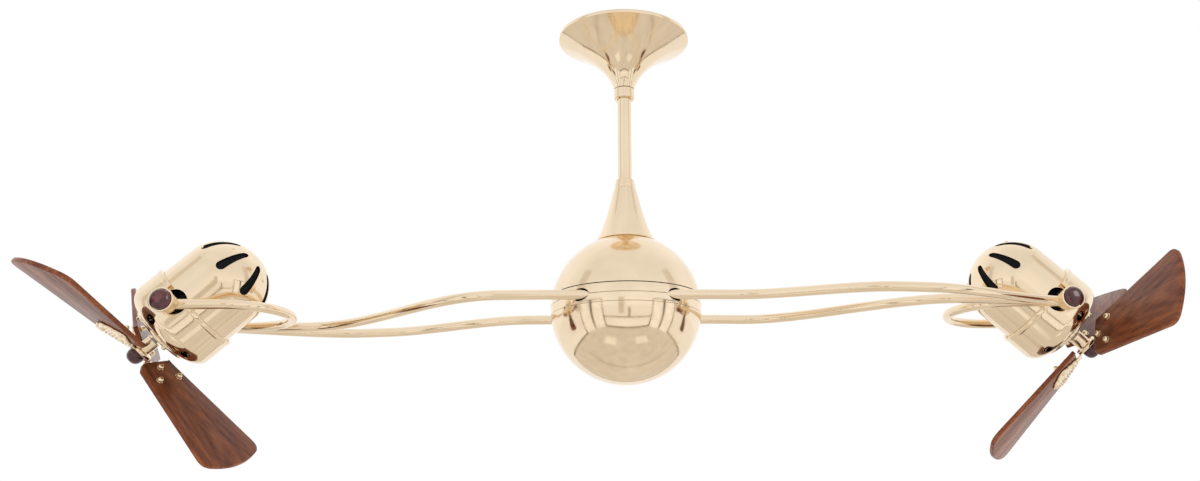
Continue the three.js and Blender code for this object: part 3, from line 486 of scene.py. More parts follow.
FINISHES = {
    "polished_brass": polished_brass(),
    "steel": worked_steel("steel", (0.46, 0.47, 0.48), 0.28, 0.42),
    "dark_steel": worked_steel("dark_steel", (0.012, 0.012, 0.014), 0.5, 0.7),
    "motor_can": moulded("motor_can", (0.004, 0.004, 0.005), 0.6, 120.0, 1.12),
    "black_plastic": moulded("black_plastic", (0.012, 0.012, 0.014), 0.5, 150.0),
    "phenolic": moulded("phenolic", (0.10, 0.06, 0.03), 0.6, 90.0),
    "mahogany": mahogany(),
    "dark_wood": dark_wood(),
}
BRASS = FINISHES["polished_brass"]
# Painted shade: a near-black finish for the hidden insides of the sphere's shells and rings and of the head
# shells.
INSIDE_SHADE = moulded("painted_inside_shade", (0.003, 0.0025, 0.002), 0.8, 60.0, 1.08)


# ---- Geometry Nodes ----

def new_tree(name, **sizes):
    """A geometry tree with inputs for the base mesh, the named sizes and the material."""
    tree = bpy.data.node_groups.new(name, "GeometryNodeTree")
    for label, kind in {"Geometry": "Geometry", **sizes, "material": "Material"}.items():
        tree.interface.new_socket(label, in_out="INPUT", socket_type=f"NodeSocket{kind}")
    tree.interface.new_socket("Geometry", in_out="OUTPUT", socket_type="NodeSocketGeometry")
    return tree, tree.nodes.new("NodeGroupInput").outputs


def finish_tree(tree, geometry, given):
    """Ends a tree in real meshes with their material."""
    real = socket_of(tree, "GeometryNodeRealizeInstances", {"Geometry": geometry})
    dressed = socket_of(tree, "GeometryNodeSetMaterial", {"Geometry": real, "Material": given["material"]})
    tree.links.new(dressed, tree.nodes.new("NodeGroupOutput").inputs["Geometry"])
    return tree


def tube_tree():
    """A round tube along a path."""
    tree, given = new_tree("round_tube", radius="Float")
    path = socket_of(tree, "GeometryNodeMeshToCurve", {"Mesh": given["Geometry"]})
    round_section = {"Resolution": 32, "Radius": given["radius"]}
    section = socket_of(tree, "GeometryNodeCurvePrimitiveCircle", round_section)
    sweep = {"Curve": path, "Profile Curve": section, "Fill Caps": True}
    return finish_tree(tree, socket_of(tree, "GeometryNodeCurveToMesh", sweep), given)


def turned_copies(tree, given, shape):
    """Copies of a shape round Z, from a first turn on."""
    points = socket_of(tree, "GeometryNodePoints", {"Count": given["count"]})
    index = socket_of(tree, "GeometryNodeInputIndex")
    step = calculate(tree, "DIVIDE", tau, given["count"])
    turn = calculate(tree, "MULTIPLY_ADD", index, step, given["first_turn"])
    angles = socket_of(tree, "ShaderNodeCombineXYZ", {"Z": turn})
    placed = {"Points": points, "Instance": shape, "Rotation": angles}
    return socket_of(tree, "GeometryNodeInstanceOnPoints", placed)


def ring_tree(name, cuts):
    """A base mesh with copies of a tool round Z, either cut out of it or added to it."""
    tree, given = new_tree(name, tool="Object", count="Int", first_turn="Float")
    tool = socket_of(tree, "GeometryNodeObjectInfo", {"Object": given["tool"]}, "Geometry")
    copies = socket_of(tree, "GeometryNodeRealizeInstances", {"Geometry": turned_copies(tree, given, tool)})
    if cuts:
        meshes = {"Mesh 1": given["Geometry"], "Mesh 2": copies}
        result = socket_of(tree, "GeometryNodeMeshBoolean", meshes, operation="DIFFERENCE", solver="EXACT")
    else:
        result = socket_of(tree, "GeometryNodeJoinGeometry", {"Geometry": given["Geometry"]})
        tree.links.new(copies, result.node.inputs["Geometry"])
    return finish_tree(tree, result, given)


def remembered(tree, geometry, name, value, domain):
    """Keeps a vector on a geometry under a name."""
    inputs = {"Geometry": geometry, "Name": name, "Value": value}
    return socket_of(tree, "GeometryNodeStoreNamedAttribute", inputs, data_type="FLOAT_VECTOR", domain=domain)


def spun_tree():
    """Pitched copies of a piece round the fan's axis, each keeping its own grain coordinates."""
    tree, given = new_tree("spun_copies", count="Int", first_turn="Float", pitch="Float", plane="Float")
    place = socket_of(tree, "GeometryNodeInputPosition")
    grained = remembered(tree, given["Geometry"], "grain", place, "POINT")
    leaning = socket_of(tree, "ShaderNodeCombineXYZ", {"X": given["pitch"]})
    raised = socket_of(tree, "ShaderNodeCombineXYZ", {"Z": given["plane"]})
    pitched = {"Geometry": grained, "Rotation": leaning, "Translation": raised}
    copies = turned_copies(tree, given, socket_of(tree, "GeometryNodeTransform", pitched))
    number = socket_of(tree, "ShaderNodeCombineXYZ", {"Z": socket_of(tree, "GeometryNodeInputIndex")})
    return finish_tree(tree, remembered(tree, copies, "board", number, "INSTANCE"), given)


def bead_tree():
    """A small ball at every point of the base mesh."""
    tree, given = new_tree("beads", radius="Float")
    bead = socket_of(tree, "GeometryNodeMeshIcoSphere", {"Radius": given["radius"], "Subdivisions": 2})
    placed = {"Points": given["Geometry"], "Instance": bead}
    return finish_tree(tree, socket_of(tree, "GeometryNodeInstanceOnPoints", placed), given)


TUBE = tube_tree()
PERFORATION = ring_tree("perforation", True)
RING = ring_tree("ring_of_copies", False)
SPUN = spun_tree()
BEADS = bead_tree()


def grown(name, base, tree, place=UPRIGHT, material=BRASS, **values):
    """The plain mesh that a tree makes from a base object, put in its place; the base is used up."""
    modifier = base.modifiers.new(tree.name, "NODES")
    modifier.node_group = tree
    identifiers = {item.name: item.identifier for item in tree.interface.items_tree if item.in_out == "INPUT"}
    for label, value in {**values, "material": material}.items():
        modifier[identifiers[label]] = value
    bpy.context.view_layer.update()
    evaluated = base.evaluated_get(bpy.context.evaluated_depsgraph_get())
    mesh = bpy.data.meshes.new_from_object(evaluated)
    mesh.name = name
    bpy.data.objects.remove(base)
    mesh.transform(place)
    shade(mesh)
    return linked(name, mesh)


def ringed(name, base, tree, tool, count, first_turn=0.0, place=UPRIGHT):
    """Cuts a tool's copies out of a bare base, or adds them, round Z; both are used up."""
    base.data.materials.clear()
    made = grown(name, base, tree, place, tool=tool, count=count, first_turn=first_turn)
    bpy.data.objects.remove(tool)
    return made


def tube(name, points, node):
    """A tube of the rotor along a path."""
    path = plain(f"{name}_path", points, [(i, i + 1) for i in range(len(points) - 1)])
    dress(grown(name, path, TUBE, radius=TUBE_RADIUS), "rotor", "polished_brass", node)


def round_screws(name, body, foot, radius, crown, at, count, first_turn, place):
    """A ring of small round brass screws."""
    outline = domed(-0.0004, (radius, foot), (radius, crown), (0.4 * radius, crown))
    screw = lathe(f"{name}_one", outline, at, 24)
    made = ringed(name, plain(f"{name}_holder", []), RING, screw, count, first_turn, place)
    dress(made, body, "polished_brass")


def dress(piece, body, slot, *nodes):
    """Gives a piece its finish, its body and the frame nodes that it stands for."""
    if not piece.data.materials:
        piece.data.materials.append(FINISHES[slot])
    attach(piece, body)
    if nodes:
        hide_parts(*nodes)


def turned_brass(name, body, node, outline, place=UPRIGHT, segments=96):
    """A piece turned from brass."""
    dress(lathe(name, outline, place, segments), body, "polished_brass", node)


# ---- Ceiling fitting ----


def canopy():
    rim, rim_height, neck, depth, wall = CANOPY.values()
    flare = bezier((neck, -depth), *CANOPY_FLARE, (rim, -rim_height), 40)
    upper_edge = (rim - CANOPY_ROLL, -0.04 * rim_height)
    bulge = (rim + CANOPY_ROLL, -0.6 * rim_height), (rim + CANOPY_ROLL / 2, -0.24 * rim_height)
    edge = bezier(flare[-1], *bulge, upper_edge, 6)
    turned_brass("canopy_bell", "ceiling_mount", "canopy", walled(flare + edge[1:], wall), segments=160)


def rod_collar():
    radius, height, rounding = COLLAR.values()
    bore = ROD["radius"] + SEAT_GAP
    high = -CANOPY["depth"] - SEAT_GAP
    low = high - height
    outline = filleted([(bore, low), (radius, low, rounding), (radius, high, rounding), (bore, high)])
    turned_brass("rod_collar", "ceiling_mount", "canopy_collar", outline)


def neck_collar():
    """A ring of two steps on the rod above the neck cover."""
    radius, height, step = NECK_COLLAR.values()
    bore, top = ROD["radius"] + SEAT_GAP, NECK["top"]
    middle = top - 0.45 * height
    outline = filleted([
        (bore, top - height),
        (radius, top - height, 0.0012),
        (radius, middle, 0.0008),
        (radius - step, middle, 0.0004),
        (radius - step, top, 0.0018),
        (bore, top),
    ])
    turned_brass("neck_ring", "ceiling_mount", "neck_collar", outline)


def downrod():
    radius, wall, top, bottom = ROD.values()
    outline = [(radius - wall, bottom), (radius, bottom), (radius, top), (radius - wall, top)]
    turned_brass("rod_tube", "ceiling_mount", "downrod", outline)


def neck_cover():
    foot_radius, top_radius, rod_end, wall, lap = NECK.values()
    top = rod_end - NECK_COLLAR["height"] - SEAT_GAP
    foot = SPHERE_Z + sqrt(SPHERE_RADIUS ** 2 - (foot_radius - lap) ** 2) + SEAT_GAP
    third = (top - foot) / 3
    lower, upper = NECK_WAIST
    line = bezier((foot_radius, foot), (lower, foot + third), (upper, top - third), (top_radius, top), 32)
    turned_brass("neck_bell", "ceiling_mount", "neck_cover", walled(line, wall), segments=128)


def sphere_shell(name, body, node, cut, bore, outer_steps, inner_steps):
    """The sphere's shell from a cut to the pole beyond it, where it may have a bore."""
    lines = []
    for radius, steps in ((SPHERE_RADIUS, outer_steps), (SPHERE_RADIUS - SHELL_WALL, inner_steps)):
        pole = copysign(acos(bore / radius), cut)
        lines.append(arc((0, 0), (radius, radius), asin(cut / radius), pole, steps))
    made = lathe(name, lines[0] + lines[1][::-1], SPHERE, 192)
    paint_core_shade(made)
    dress(made, body, "polished_brass", node)


# ---- Rotor ----


def arm_drill(name):
    """Both rows of arm holes, as round bars right across the rings."""
    outline = bar(ARM_HOLE_RADIUS, -1.2 * SPHERE_RADIUS, 1.2 * SPHERE_RADIUS)
    across = Matrix.Rotation(pi / 2, 4, "Y")
    places = [Matrix.Translation((0, y, ARM_Z)) @ across for y in (-ARM_SPREAD, ARM_SPREAD)]
    return joined(name, [lathe(f"{name}_bar", outline, place, 48) for place in places])


def rotor_ring(name, low, high, node):
    """One of the two rings that hold the arms, with a hole for each."""
    inner, radius = SPHERE_RADIUS - RING_WALL, SPHERE_RADIUS
    outer = arc((0, 0), (radius, radius), asin(low / radius), asin(high / radius), 12)
    first, last = (*outer[0], 0.0006), (*outer[-1], 0.0006)
    outline = filleted([first, *outer[1:-1], last, (inner, high), (inner, low)], 3)
    blank = lathe(f"{name}_blank", outline, segments=256)
    made = ringed(name, blank, PERFORATION, arm_drill(f"{name}_drill"), 1, place=SPHERE)
    paint_core_shade(made)
    dress(made, "rotor", "polished_brass", node)


def ring_screws():
    """Small round set screws in the upper ring, front and back."""
    count, height, radius, crown = RING_SCREW.values()
    lift = asin(height / SPHERE_RADIUS)
    at = Matrix.Translation((SPHERE_RADIUS * cos(lift), 0, height)) @ Matrix.Rotation(pi / 2 - lift, 4, "Y")
    round_screws("ring_set_screws", "rotor", 0.0001, radius, crown, at, count, pi / 2, SPHERE)


def smooth(x, low, high):
    """A smooth step from 0 to 1."""
    t = max(0.0, min(1.0, (x - low) / (high - low)))
    return t * t * (3 - 2 * t)


def along(share):
    """A distance from the middle, as a share of the run from the sphere to the pivots."""
    return SPHERE_RADIUS + share * (HEAD_REACH - SPHERE_RADIUS)


def crossing_y(x):
    """The arm that leaves at -Y and swings across to +Y."""
    start, end, yoke_start = (along(share) for share in CROSSING.values())
    swing = (ARM_SPREAD + ARM_LANDING) * smooth(x, start, end) - ARM_SPREAD
    share = smooth(x, yoke_start, HEAD_REACH + 0.018)
    return swing + (YOKE["leg"] + 0.003 - swing) * share


def bowed_y(x):
    """The arm that leaves at +Y, bows out and comes back in."""
    start, out, back, end = (along(share) for share in BOWED.values())
    fall = (ARM_SPREAD + SWELL_WIDTH - YOKE["leg"]) * smooth(x, back, end)
    return ARM_SPREAD + SWELL_WIDTH * smooth(x, start, out) - fall


def arm(side, end, sideways):
    where = END_NAMES[side][end]
    steps = 180
    start, end = ARM_ENDS["inner"], HEAD_REACH - ARM_ENDS["outer"]
    points = []
    for i in range(steps + 1):
        x = start + (end - start) * i / steps
        z = SPHERE_Z + ARM_Z - HEAD_SAG * smooth(x, SPHERE_RADIUS, HEAD_REACH)
        points.append(SIDES[side] @ Vector((-x, sideways(x), z)))
    tube(f"{side}_{where}_tube", points, f"{side}_{where}_arm")


def yoke(side):
    leg, reach = YOKE.values()
    bend = reach - leg
    run = [(bend * i / 8, -leg) for i in range(8)]
    path = run + arc((bend, 0), (leg, leg), -pi / 2, pi / 2, 96) + [(x, -y) for x, y in reversed(run)]
    place = SIDES[side] @ PIVOT
    tube(f"{side}_yoke_loop", [place @ Vector((x, y, 0)) for x, y in path], f"{side}_yoke")


def cup(side, end):
    radius, rim, rim_height, length, face = CUP.values()
    well, depth = CUP_WELL.values()
    neck, foot = CUP_NECK.values()
    pin, pin_end = PIN.values()
    outline = filleted([
        (0, pin_end),
        (pin, pin_end),
        (pin, foot),
        (neck, foot, 0.0008),
        (neck, face - length, 0.002),
        (radius, face - length, 0.003),
        (radius, face - rim_height, 0.0006),
        (rim, face - rim_height, 0.0009),
        (rim, face, 0.0009),
        (well, face, 0.0006),
        (well, face - depth),
        (0, face - depth),
    ])
    place, where = at_pivot(side, end)
    turned_brass(f"{side}_{where}_pivot_cup", "rotor", f"{side}_{where}_cup", outline, place)


def finial(side, end):
    seat, edge = CUP["face"] - CUP_WELL["depth"] + SEAT_GAP, CUP["face"]
    radius, crown = FINIAL.values()
    outline = domed(seat, (radius, edge), (radius, edge + 0.004), (0.008, edge + crown), 24)
    place, where = at_pivot(side, end)
    dress(lathe(f"{side}_{where}_knob", outline, place, 96), "rotor", "dark_wood", f"{side}_{where}_finial")


# ---- Heads: Z runs along the head's axis towards the fan ----


def teardrop(name):
    """The cutting tool of a rear vent, reaching out along +X."""
    _, wide, narrow, near, far = REAR_VENT.values()
    lean = asin((wide - narrow) / (far - near))
    wide_end = arc((0, -near), (wide, wide), pi - lean, lean, 14)
    narrow_end = arc((0, -far), (narrow, narrow), lean, -pi - lean, 14)
    return slab(name, wide_end + narrow_end, VENT_TOOL_START, TOOL_REACH, OUTWARDS)


def slot_tool(name):
    """The cutting tool of a front vent, reaching out along +X."""
    _, reach, half_width, half_length, inner = FRONT_VENT.values()
    straight, radii = half_length - half_width, (half_width, half_width)
    one_end = arc((straight, 0), radii, pi / 2, -pi / 2, 10)
    other_end = arc((-straight, 0), radii, -pi / 2, -1.5 * pi, 10)
    return slab(name, one_end + other_end, inner, TOOL_REACH, Matrix.Translation((0, 0, reach)) @ OUTWARDS)


def pivot_drill(name):
    """A round bar through both sides of a head, at its pivots."""
    outline = bar(PIVOT_HOLE["radius"], -TOOL_REACH, TOOL_REACH)
    return lathe(name, outline, Matrix.Translation((0, 0, -PIVOT_HOLE["back"])) @ STOOD_UP, 64)


def pivot_slot(name):
    """The tool of the front shell's slot: round in front, open at the rim."""
    radius = PIVOT_HOLE["radius"] + PIVOT_HOLE["border"]
    past_rim = FRONT_SHELL["back"] - 0.002
    front = arc((0, -PIVOT_HOLE["back"]), (radius, radius), 0, pi, 32)
    return slab(name, [*front, (-radius, past_rim), (radius, past_rim)], -TOOL_REACH, TOOL_REACH, STOOD_UP)


def rear_dome(radius, depth, steps):
    """The rear dome's outline, from its edge to its pole."""
    return arc((0, DOME_START), (radius, -depth), 0, pi / 2, steps)


def rear_shell(side):
    radius, _, dome, mouth = REAR_SHELL.values()

    def line(wall, steps):
        straight = [(radius - wall, mouth + (DOME_START - mouth) * i / 14) for i in range(14)]
        return straight + rear_dome(radius - wall, dome - wall, steps)

    blank = lathe(f"{side}_rear_blank", line(0, 44) + line(HEAD_WALL, 24)[::-1], segments=160)
    vent = teardrop(f"{side}_teardrop")
    vented = ringed(f"{side}_rear_vented", blank, PERFORATION, vent, REAR_VENT["count"])
    drill = pivot_drill(f"{side}_pivot_drill")
    made = ringed(f"{side}_rear_cover", vented, PERFORATION, drill, 1, place=on_axis(side))
    paint_head_shade(made, side, DOME_START)
    dress(made, f"{side}_head", "polished_brass", f"{side}_rear_shell")


def shade_sheet(side):
    """A black sheet of painted shade just inside the rear dome, seen through the rear vents."""
    radius, depth, wall = SHADE_SHEET.values()
    outline = rear_dome(radius, depth, 24) + rear_dome(radius - wall, depth - wall, 24)[::-1]
    dress(lathe(f"{side}_vent_liner", outline, on_axis(side), 96), f"{side}_head", "motor_can")


def dome_screws(side):
    """The small round screws between the rear vents."""
    count, back, radius, height = DOME_SCREW.values()
    lift = asin((back + DOME_START) / REAR_SHELL["dome"])
    out = REAR_SHELL["radius"] * cos(lift)
    at = Matrix.Translation((out, 0, -back)) @ Matrix.Rotation(pi / 2 + lift, 4, "Y")
    name = f"{side}_dome_screws"
    round_screws(name, f"{side}_head", 0.0002, radius, height, at, count, pi / 8, on_axis(side))


def paint_head_shade(piece, side, bend):
    """Paints shade on the faces that look into a head; behind its bend they look towards the bend's middle.
    """
    back = on_axis(side).inverted()
    turn = back.to_3x3()

    def looks_in(face):
        spot = back @ face.center
        inwards = -Vector((spot.x, spot.y, min(0.0, spot.z - bend)))
        return (turn @ face.normal).dot(inwards.normalized()) > 0.3

    paint_shade(piece, looks_in)


def front_shell(side):
    rim, radius, back, rim_width, shoulder = FRONT_SHELL.values()
    reach, face_radius, bore, wall = FRONT_FACE.values()
    inner_radius = REAR_SHELL["radius"] + SEAT_GAP
    ledge = back + rim_width
    start = ledge + 0.0012

    def corner(step_in, steps):
        radii = (radius - face_radius, reach - step_in - shoulder)
        return arc((face_radius - step_in, shoulder), radii, 0, pi / 2, steps)

    straight = [(radius, start + (shoulder - start) * i / 12) for i in range(1, 12)]
    rim_line = filleted([
        (inner_radius, back),
        (rim, back, 0.0012),
        (rim, ledge, 0.0012),
        (radius, ledge + 0.0006, 0.0004),
        straight[0],
    ])
    inner_run = [(inner_radius, shoulder + (back - shoulder) * i / 12) for i in range(1, 12)]
    face = [(bore, reach), (bore, reach - wall)]
    inner_corner = corner(radius - inner_radius, 14)[::-1]
    outline = rim_line + straight[1:] + corner(0, 24) + face + inner_corner + inner_run
    blank = lathe(f"{side}_front_blank", outline, segments=160)
    vent = slot_tool(f"{side}_vent_tool")
    vented = ringed(f"{side}_front_vented", blank, PERFORATION, vent, FRONT_VENT["count"], pi / 2)
    slot = pivot_slot(f"{side}_pivot_slot")
    made = ringed(f"{side}_front_cover", vented, PERFORATION, slot, 1, place=on_axis(side))
    paint_head_shade(made, side, 0.0)
    dress(made, f"{side}_head", "polished_brass", f"{side}_front_shell")


def face_plate(side):
    foot = FRONT_FACE["reach"] + SEAT_GAP
    radius, thickness, step, step_height = FACE_PLATE.values()
    face = foot + thickness
    bore = SHAFT["radius"] + 0.0012
    outline = filleted([
        (bore, foot),
        (radius, foot),
        (radius, face, 0.0015),
        (step + 0.001, face, 0.001),
        (step - 0.002, face + step_height, 0.0015),
        (bore, face + step_height, 0.0006),
    ])
    blank = lathe(f"{side}_plate_blank", outline)
    count, nut_radius, nut_height, circle = FACE_NUT.values()
    top = face + nut_height
    nut_outline = domed(face - 0.001, (nut_radius, top - 0.002), (nut_radius, top - 0.0006), (0.0012, top))
    nut = lathe(f"{side}_nut", nut_outline, Matrix.Translation((circle, 0, 0)), 24)
    made = ringed(f"{side}_face_disc", blank, RING, nut, count, pi / 4, on_axis(side))
    dress(made, f"{side}_head", "polished_brass", f"{side}_face_plate")


# ---- Fans: Z runs along the head's axis ----


def shaft_and_hub(side):
    place, body = on_axis(side), f"{side}_fan"
    rod = bar(SHAFT["radius"], SHAFT["back"], FAN_HUB["front"] + SHAFT["tail"])
    dress(lathe(f"{side}_shaft_rod", rod, place, 48), body, "steel", f"{side}_motor_shaft")
    radius, back, front, flange, height = FAN_HUB.values()
    outline = filleted([
        (0, back),
        (radius, back, 0.001),
        (radius, front - height, 0.0015),
        (flange, front - height, 0.0008),
        (flange, front, 0.0008),
        (0, front),
    ])
    turned_brass(f"{side}_hub_block", body, f"{side}_fan_hub", outline, place, 72)


def hub_cap(side):
    foot = FAN_HUB["front"] + SHAFT["tail"] + SEAT_GAP
    radius, top = CAP["radius"], foot + CAP["length"]
    crown = bezier((radius, foot + 0.004), (radius, foot + 0.012), (0.007, top), (0, top), 24)
    outline = [(0, foot), (radius - 0.0015, foot), (radius - 0.0004, foot + 0.0012), *crown]
    made = lathe(f"{side}_cap_knob", outline, on_axis(side), 96)
    dress(made, f"{side}_fan", "dark_wood", f"{side}_hub_cap")


def blade_outline():
    _, root, tip, root_half, tip_half = BLADE.values()
    corner, corner_bow, middle_bow = BLADE_TIP.values()

    def half(x):
        return root_half + (tip_half - root_half) * (x - root) / (tip - root)

    edge = tip - corner
    low, high = (tip + corner_bow, corner - tip_half), (tip + corner_bow, tip_half - corner)
    run = [(root + (edge - root) * i / 12, -half(root + (edge - root) * i / 12)) for i in range(1, 12)]
    lower_corner = pulled((edge, -half(edge)), (tip, -tip_half), low, 10)
    bow = pulled(low, (tip + middle_bow, 0), high, 20)[1:-1]
    upper_corner = pulled(high, (tip, tip_half), (edge, half(edge)), 10)
    start = root + BLADE_ROOT_CUT
    back = [(x, -y) for x, y in reversed(run) if x > start + 0.004]
    cut = [(start, half(start), 0.003), (root, root_half - BLADE_ROOT_CUT, 0.003)]
    root_end = filleted([back[-1], *cut, (root, 0)], 4)[1:]
    return (
        filleted([(root, -root_half, 0.002), run[0]], 4) + run[1:]
        + lower_corner + bow + upper_corner + back + root_end
    )


def spun(name, base, side, material):
    """Three pitched copies round a fan's axis."""
    values = {"count": 3, "first_turn": FAN_PHASE[side], "pitch": BLADE_PITCH, "plane": BLADE_PLANE}
    return grown(name, base, SPUN, on_axis(side), material, **values)


def blades(side):
    half = BLADE["thickness"] / 2
    board = slab(f"{side}_board", blade_outline(), -half, half, bevel=0.0014, bevel_steps=4)
    made = spun(f"{side}_blades", board, side, FINISHES["mahogany"])
    dress(made, f"{side}_fan", "mahogany", *[f"{side}_blade_{i}" for i in (1, 2, 3)])


def leaf_outline():
    """A leaf with a scalloped edge, seen from above."""
    root, reach = FAN_HUB["flange"] + SEAT_GAP, IRON["reach"]
    steps = 110
    half = []
    for i in range(steps + 1):
        x = root + (reach - root) * i / steps
        width = IRON["neck"] if x < IRON["neck_end"] else IRON["spine"]
        for middle, offset, radius in LEAF_LOBES:
            if abs(x - middle) < radius:
                width = max(width, offset + sqrt(radius ** 2 - (x - middle) ** 2))
        half.append((x, width))
    return [(x, -y) for x, y in half] + [(x, y) for x, y in reversed(half)]


def bead_places(height):
    """Rows of beads that follow the leaf's edge, just inside it, and one along its middle."""
    first, inset = BEAD["first"], BEAD["inset"]
    places = []
    last = Vector((0, 0, 0))
    for x, y in leaf_outline():
        if x < first:
            continue
        pull = min(1.0, inset / max(abs(y), inset))
        spot = Vector((x - 0.0008, y * (1 - pull), height))
        if (spot - last).length > BEAD["spacing"]:
            places.append(spot)
            last = spot
    return places + [Vector((first + 0.0052 * k, 0, height)) for k in range(9) if k not in (1, 2)]


def irons(side):
    """The three leaves that carry the blades, with their studs, round heads, and nuts on the blades' rear."""
    rear = -BLADE["thickness"] / 2
    low = SEAT_GAP - rear
    high = low + IRON["thickness"]
    leaf = slab(f"{side}_leaf", leaf_outline(), low, high, bevel=0.0007)
    dots = plain(f"{side}_bead_places", bead_places(high))
    parts = [leaf, grown(f"{side}_beads", dots, BEADS, radius=BEAD["radius"])]
    sunk = high - 0.0005
    stud = [(0, rear - 0.007), (STUD_RADIUS, rear - 0.0065), (STUD_RADIUS, sunk), (0, sunk)]
    foot, tip = rear - 0.0001, rear - 0.0058
    cap = bezier((0.0038, rear - 0.0013), (0.0036, tip), (0.0024, tip), (0, tip), 8)
    nut = [(0, foot), (NUT_RADIUS, foot), (NUT_RADIUS, foot - 0.001), *cap]
    head = domed(high - 0.0004, (HEAD_RADIUS, high + 0.0003), (0.003, high + 0.0016), (0.0015, high + 0.0021))
    for k, (x, y) in enumerate(SCREW_PLACES):
        for label, outline, sides in (("stud", stud, 16), ("nut", nut, 24), ("head", head, 24)):
            parts.append(lathe(f"{side}_{label}_{k}", outline, Matrix.Translation((x, y, 0)), sides))
    made = spun(f"{side}_leaves", joined(f"{side}_leaf_set", parts), side, BRASS)
    dress(made, f"{side}_fan", "polished_brass", *[f"{side}_blade_iron_{i}" for i in (1, 2, 3)])


# ---- Everything together ----

canopy()
rod_collar()
downrod()
neck_collar()
neck_cover()
sphere_shell("dome_shell", "ceiling_mount", "upper_dome", GROOVE_Z + GROOVE_HALF, DOME_BORE, 64, 24)
rotor_ring("ring_above", ARM_Z + SEAT_GAP / 2, GROOVE_Z - GROOVE_HALF, "upper_ring")
rotor_ring("ring_below", RING_FOOT, ARM_Z - SEAT_GAP / 2, "lower_ring")
sphere_shell("bowl_shell", "rotor", "lower_bowl", RING_FOOT - SEAT_GAP, 0.0, 72, 30)
ring_screws()
for side in SIDES:
    arm(side, -1, crossing_y)
    arm(side, 1, bowed_y)
    yoke(side)
    for end in (-1, 1):
        cup(side, end)
        finial(side, end)
    rear_shell(side)
    dome_screws(side)
    # painted shade: a black sheet behind the rear vents
    shade_sheet(side)
    front_shell(side)
    face_plate(side)
    shaft_and_hub(side)
    hub_cap(side)
    blades(side)
    irons(side)

# The frame's own pieces that still show inside keep their mesh and get their finish.
for row in frame["record"]["subparts"]:
    shown = frame["nodes"][row["node"]]
    if shown.hide_render:
        continue
    shown.data.materials.clear()
    shown.data.materials.append(FINISHES[row["material_slot"]])


# ---- Studio ----


def floor():
    """A pale floor far below that keeps the shadow and lets a view from underneath through."""
    glow = {"Emission_Color": (1, 0.99, 0.97, 1), "Emission_Strength": FLOOR_GLOW}
    material, tree, shader = finish("pale_floor", Roughness=0.9, **glow)
    place = coordinates(tree)
    tone = ramp(tree, noise(tree, place, 1.2, 3.0), (0.3, (0.82, 0.81, 0.80)), (0.7, (0.86, 0.85, 0.84)))
    tree.links.new(tone, shader.inputs["Base Color"])
    below = socket_of(tree, "ShaderNodeNewGeometry", output="Backfacing")
    clear = socket_of(tree, "ShaderNodeBsdfTransparent")
    surface = socket_of(tree, "ShaderNodeMixShader", {0: below, 1: shader.outputs[0], 2: clear})
    tree.links.new(surface, tree.nodes["Material Output"].inputs["Surface"])
    corners = [(x * FLOOR_HALF, y * FLOOR_HALF, FLOOR_Z) for x, y in ((-1, -1), (1, -1), (1, 1), (-1, 1))]
    made = plain("floor", corners, faces=[(0, 1, 2, 3)])
    made.data.materials.append(material)


def world():
    """White to the camera; as gloss, a room that is dimmer on the photographer's side; softer as light."""
    made = bpy.data.worlds.new("studio")
    bpy.context.scene.world = made
    made.use_nodes = True
    tree = made.node_tree
    tree.nodes.clear()
    path = add_node(tree, "ShaderNodeLightPath").outputs
    direct = calculate(tree, "MAXIMUM", path["Is Camera Ray"], path["Is Transmission Ray"])
    aim = coordinates(tree, "Generated")
    axes = add_node(tree, "ShaderNodeSeparateXYZ", {"Vector": aim}).outputs
    front = spread(tree, axes["Z"], 1.02, 0.91, 0.05, 0.45)
    behind = spread(tree, axes["Y"], 0.0, 1.0, -0.1, 0.4)
    walls = spread(tree, noise(tree, aim, 2.2, 2.0), 0.95, 1.03)
    room = calculate(tree, "MULTIPLY", mixed(tree, behind, front, 1.03), walls)
    gloss = mixed(tree, path["Is Glossy Ray"], AMBIENT, room)
    background = {"Color": (1, 1, 1, 1), "Strength": mixed(tree, direct, gloss, 1.0)}
    light = socket_of(tree, "ShaderNodeBackground", background)
    tree.links.new(light, tree.nodes.new("ShaderNodeOutputWorld").inputs["Surface"])


def lamp(name, place, aim, size, power, glossy=False):
    """A soft lamp, which gives light but no mirror image unless it is glossy."""
    data = bpy.data.lights.new(name, "AREA")
    data.shape = "RECTANGLE"
    data.size, data.size_y = size
    data.energy = power
    made = linked(name, data)
    made.location = place
    made.rotation_euler = (Vector(aim) - Vector(place)).to_track_quat("-Z", "Y").to_euler()
    made.visible_glossy = glossy
    return made


def spark():
    """A lamp that gives the turned wood knobs their highlight and leaves the brass alone."""
    made = lamp("spark", (1.5, -1.9, 0.5), ROOM_CENTRE, (1.0, 1.2), 17, glossy=True)
    knobs = bpy.data.collections.new("turned_wood")
    for piece in bpy.context.scene.objects:
        if piece.name.endswith("_knob"):
            knobs.objects.link(piece)
    made.light_linking.receiver_collection = knobs


def card(name, place, aim, size, level):
    """A card that is seen only as a reflection: a window pane, its dark frame or a rug."""
    material = bpy.data.materials.new(name)
    material.use_nodes = True
    tree = material.node_tree
    tree.nodes.clear()
    darker = tuple(0.86 * c for c in level)
    tone = ramp(tree, noise(tree, coordinates(tree), 3.0, 2.0), (0.3, darker), (0.7, level))
    glow = socket_of(tree, "ShaderNodeEmission", {"Color": tone, "Strength": 1.0})
    tree.links.new(glow, tree.nodes.new("ShaderNodeOutputMaterial").inputs["Surface"])
    turn = (Vector(aim) - Vector(place)).to_track_quat("-Z", "Y").to_matrix().to_4x4()
    half_x, half_y = size[0] / 2, size[1] / 2
    corners = [(-half_x, -half_y), (half_x, -half_y), (half_x, half_y), (-half_x, half_y)]
    made = slab(name, corners, -0.002, 0.002, Matrix.Translation(place) @ turn)
    made.data.materials.append(material)
    for kind in ("camera", "diffuse", "transmission", "shadow"):
        setattr(made, f"visible_{kind}", False)


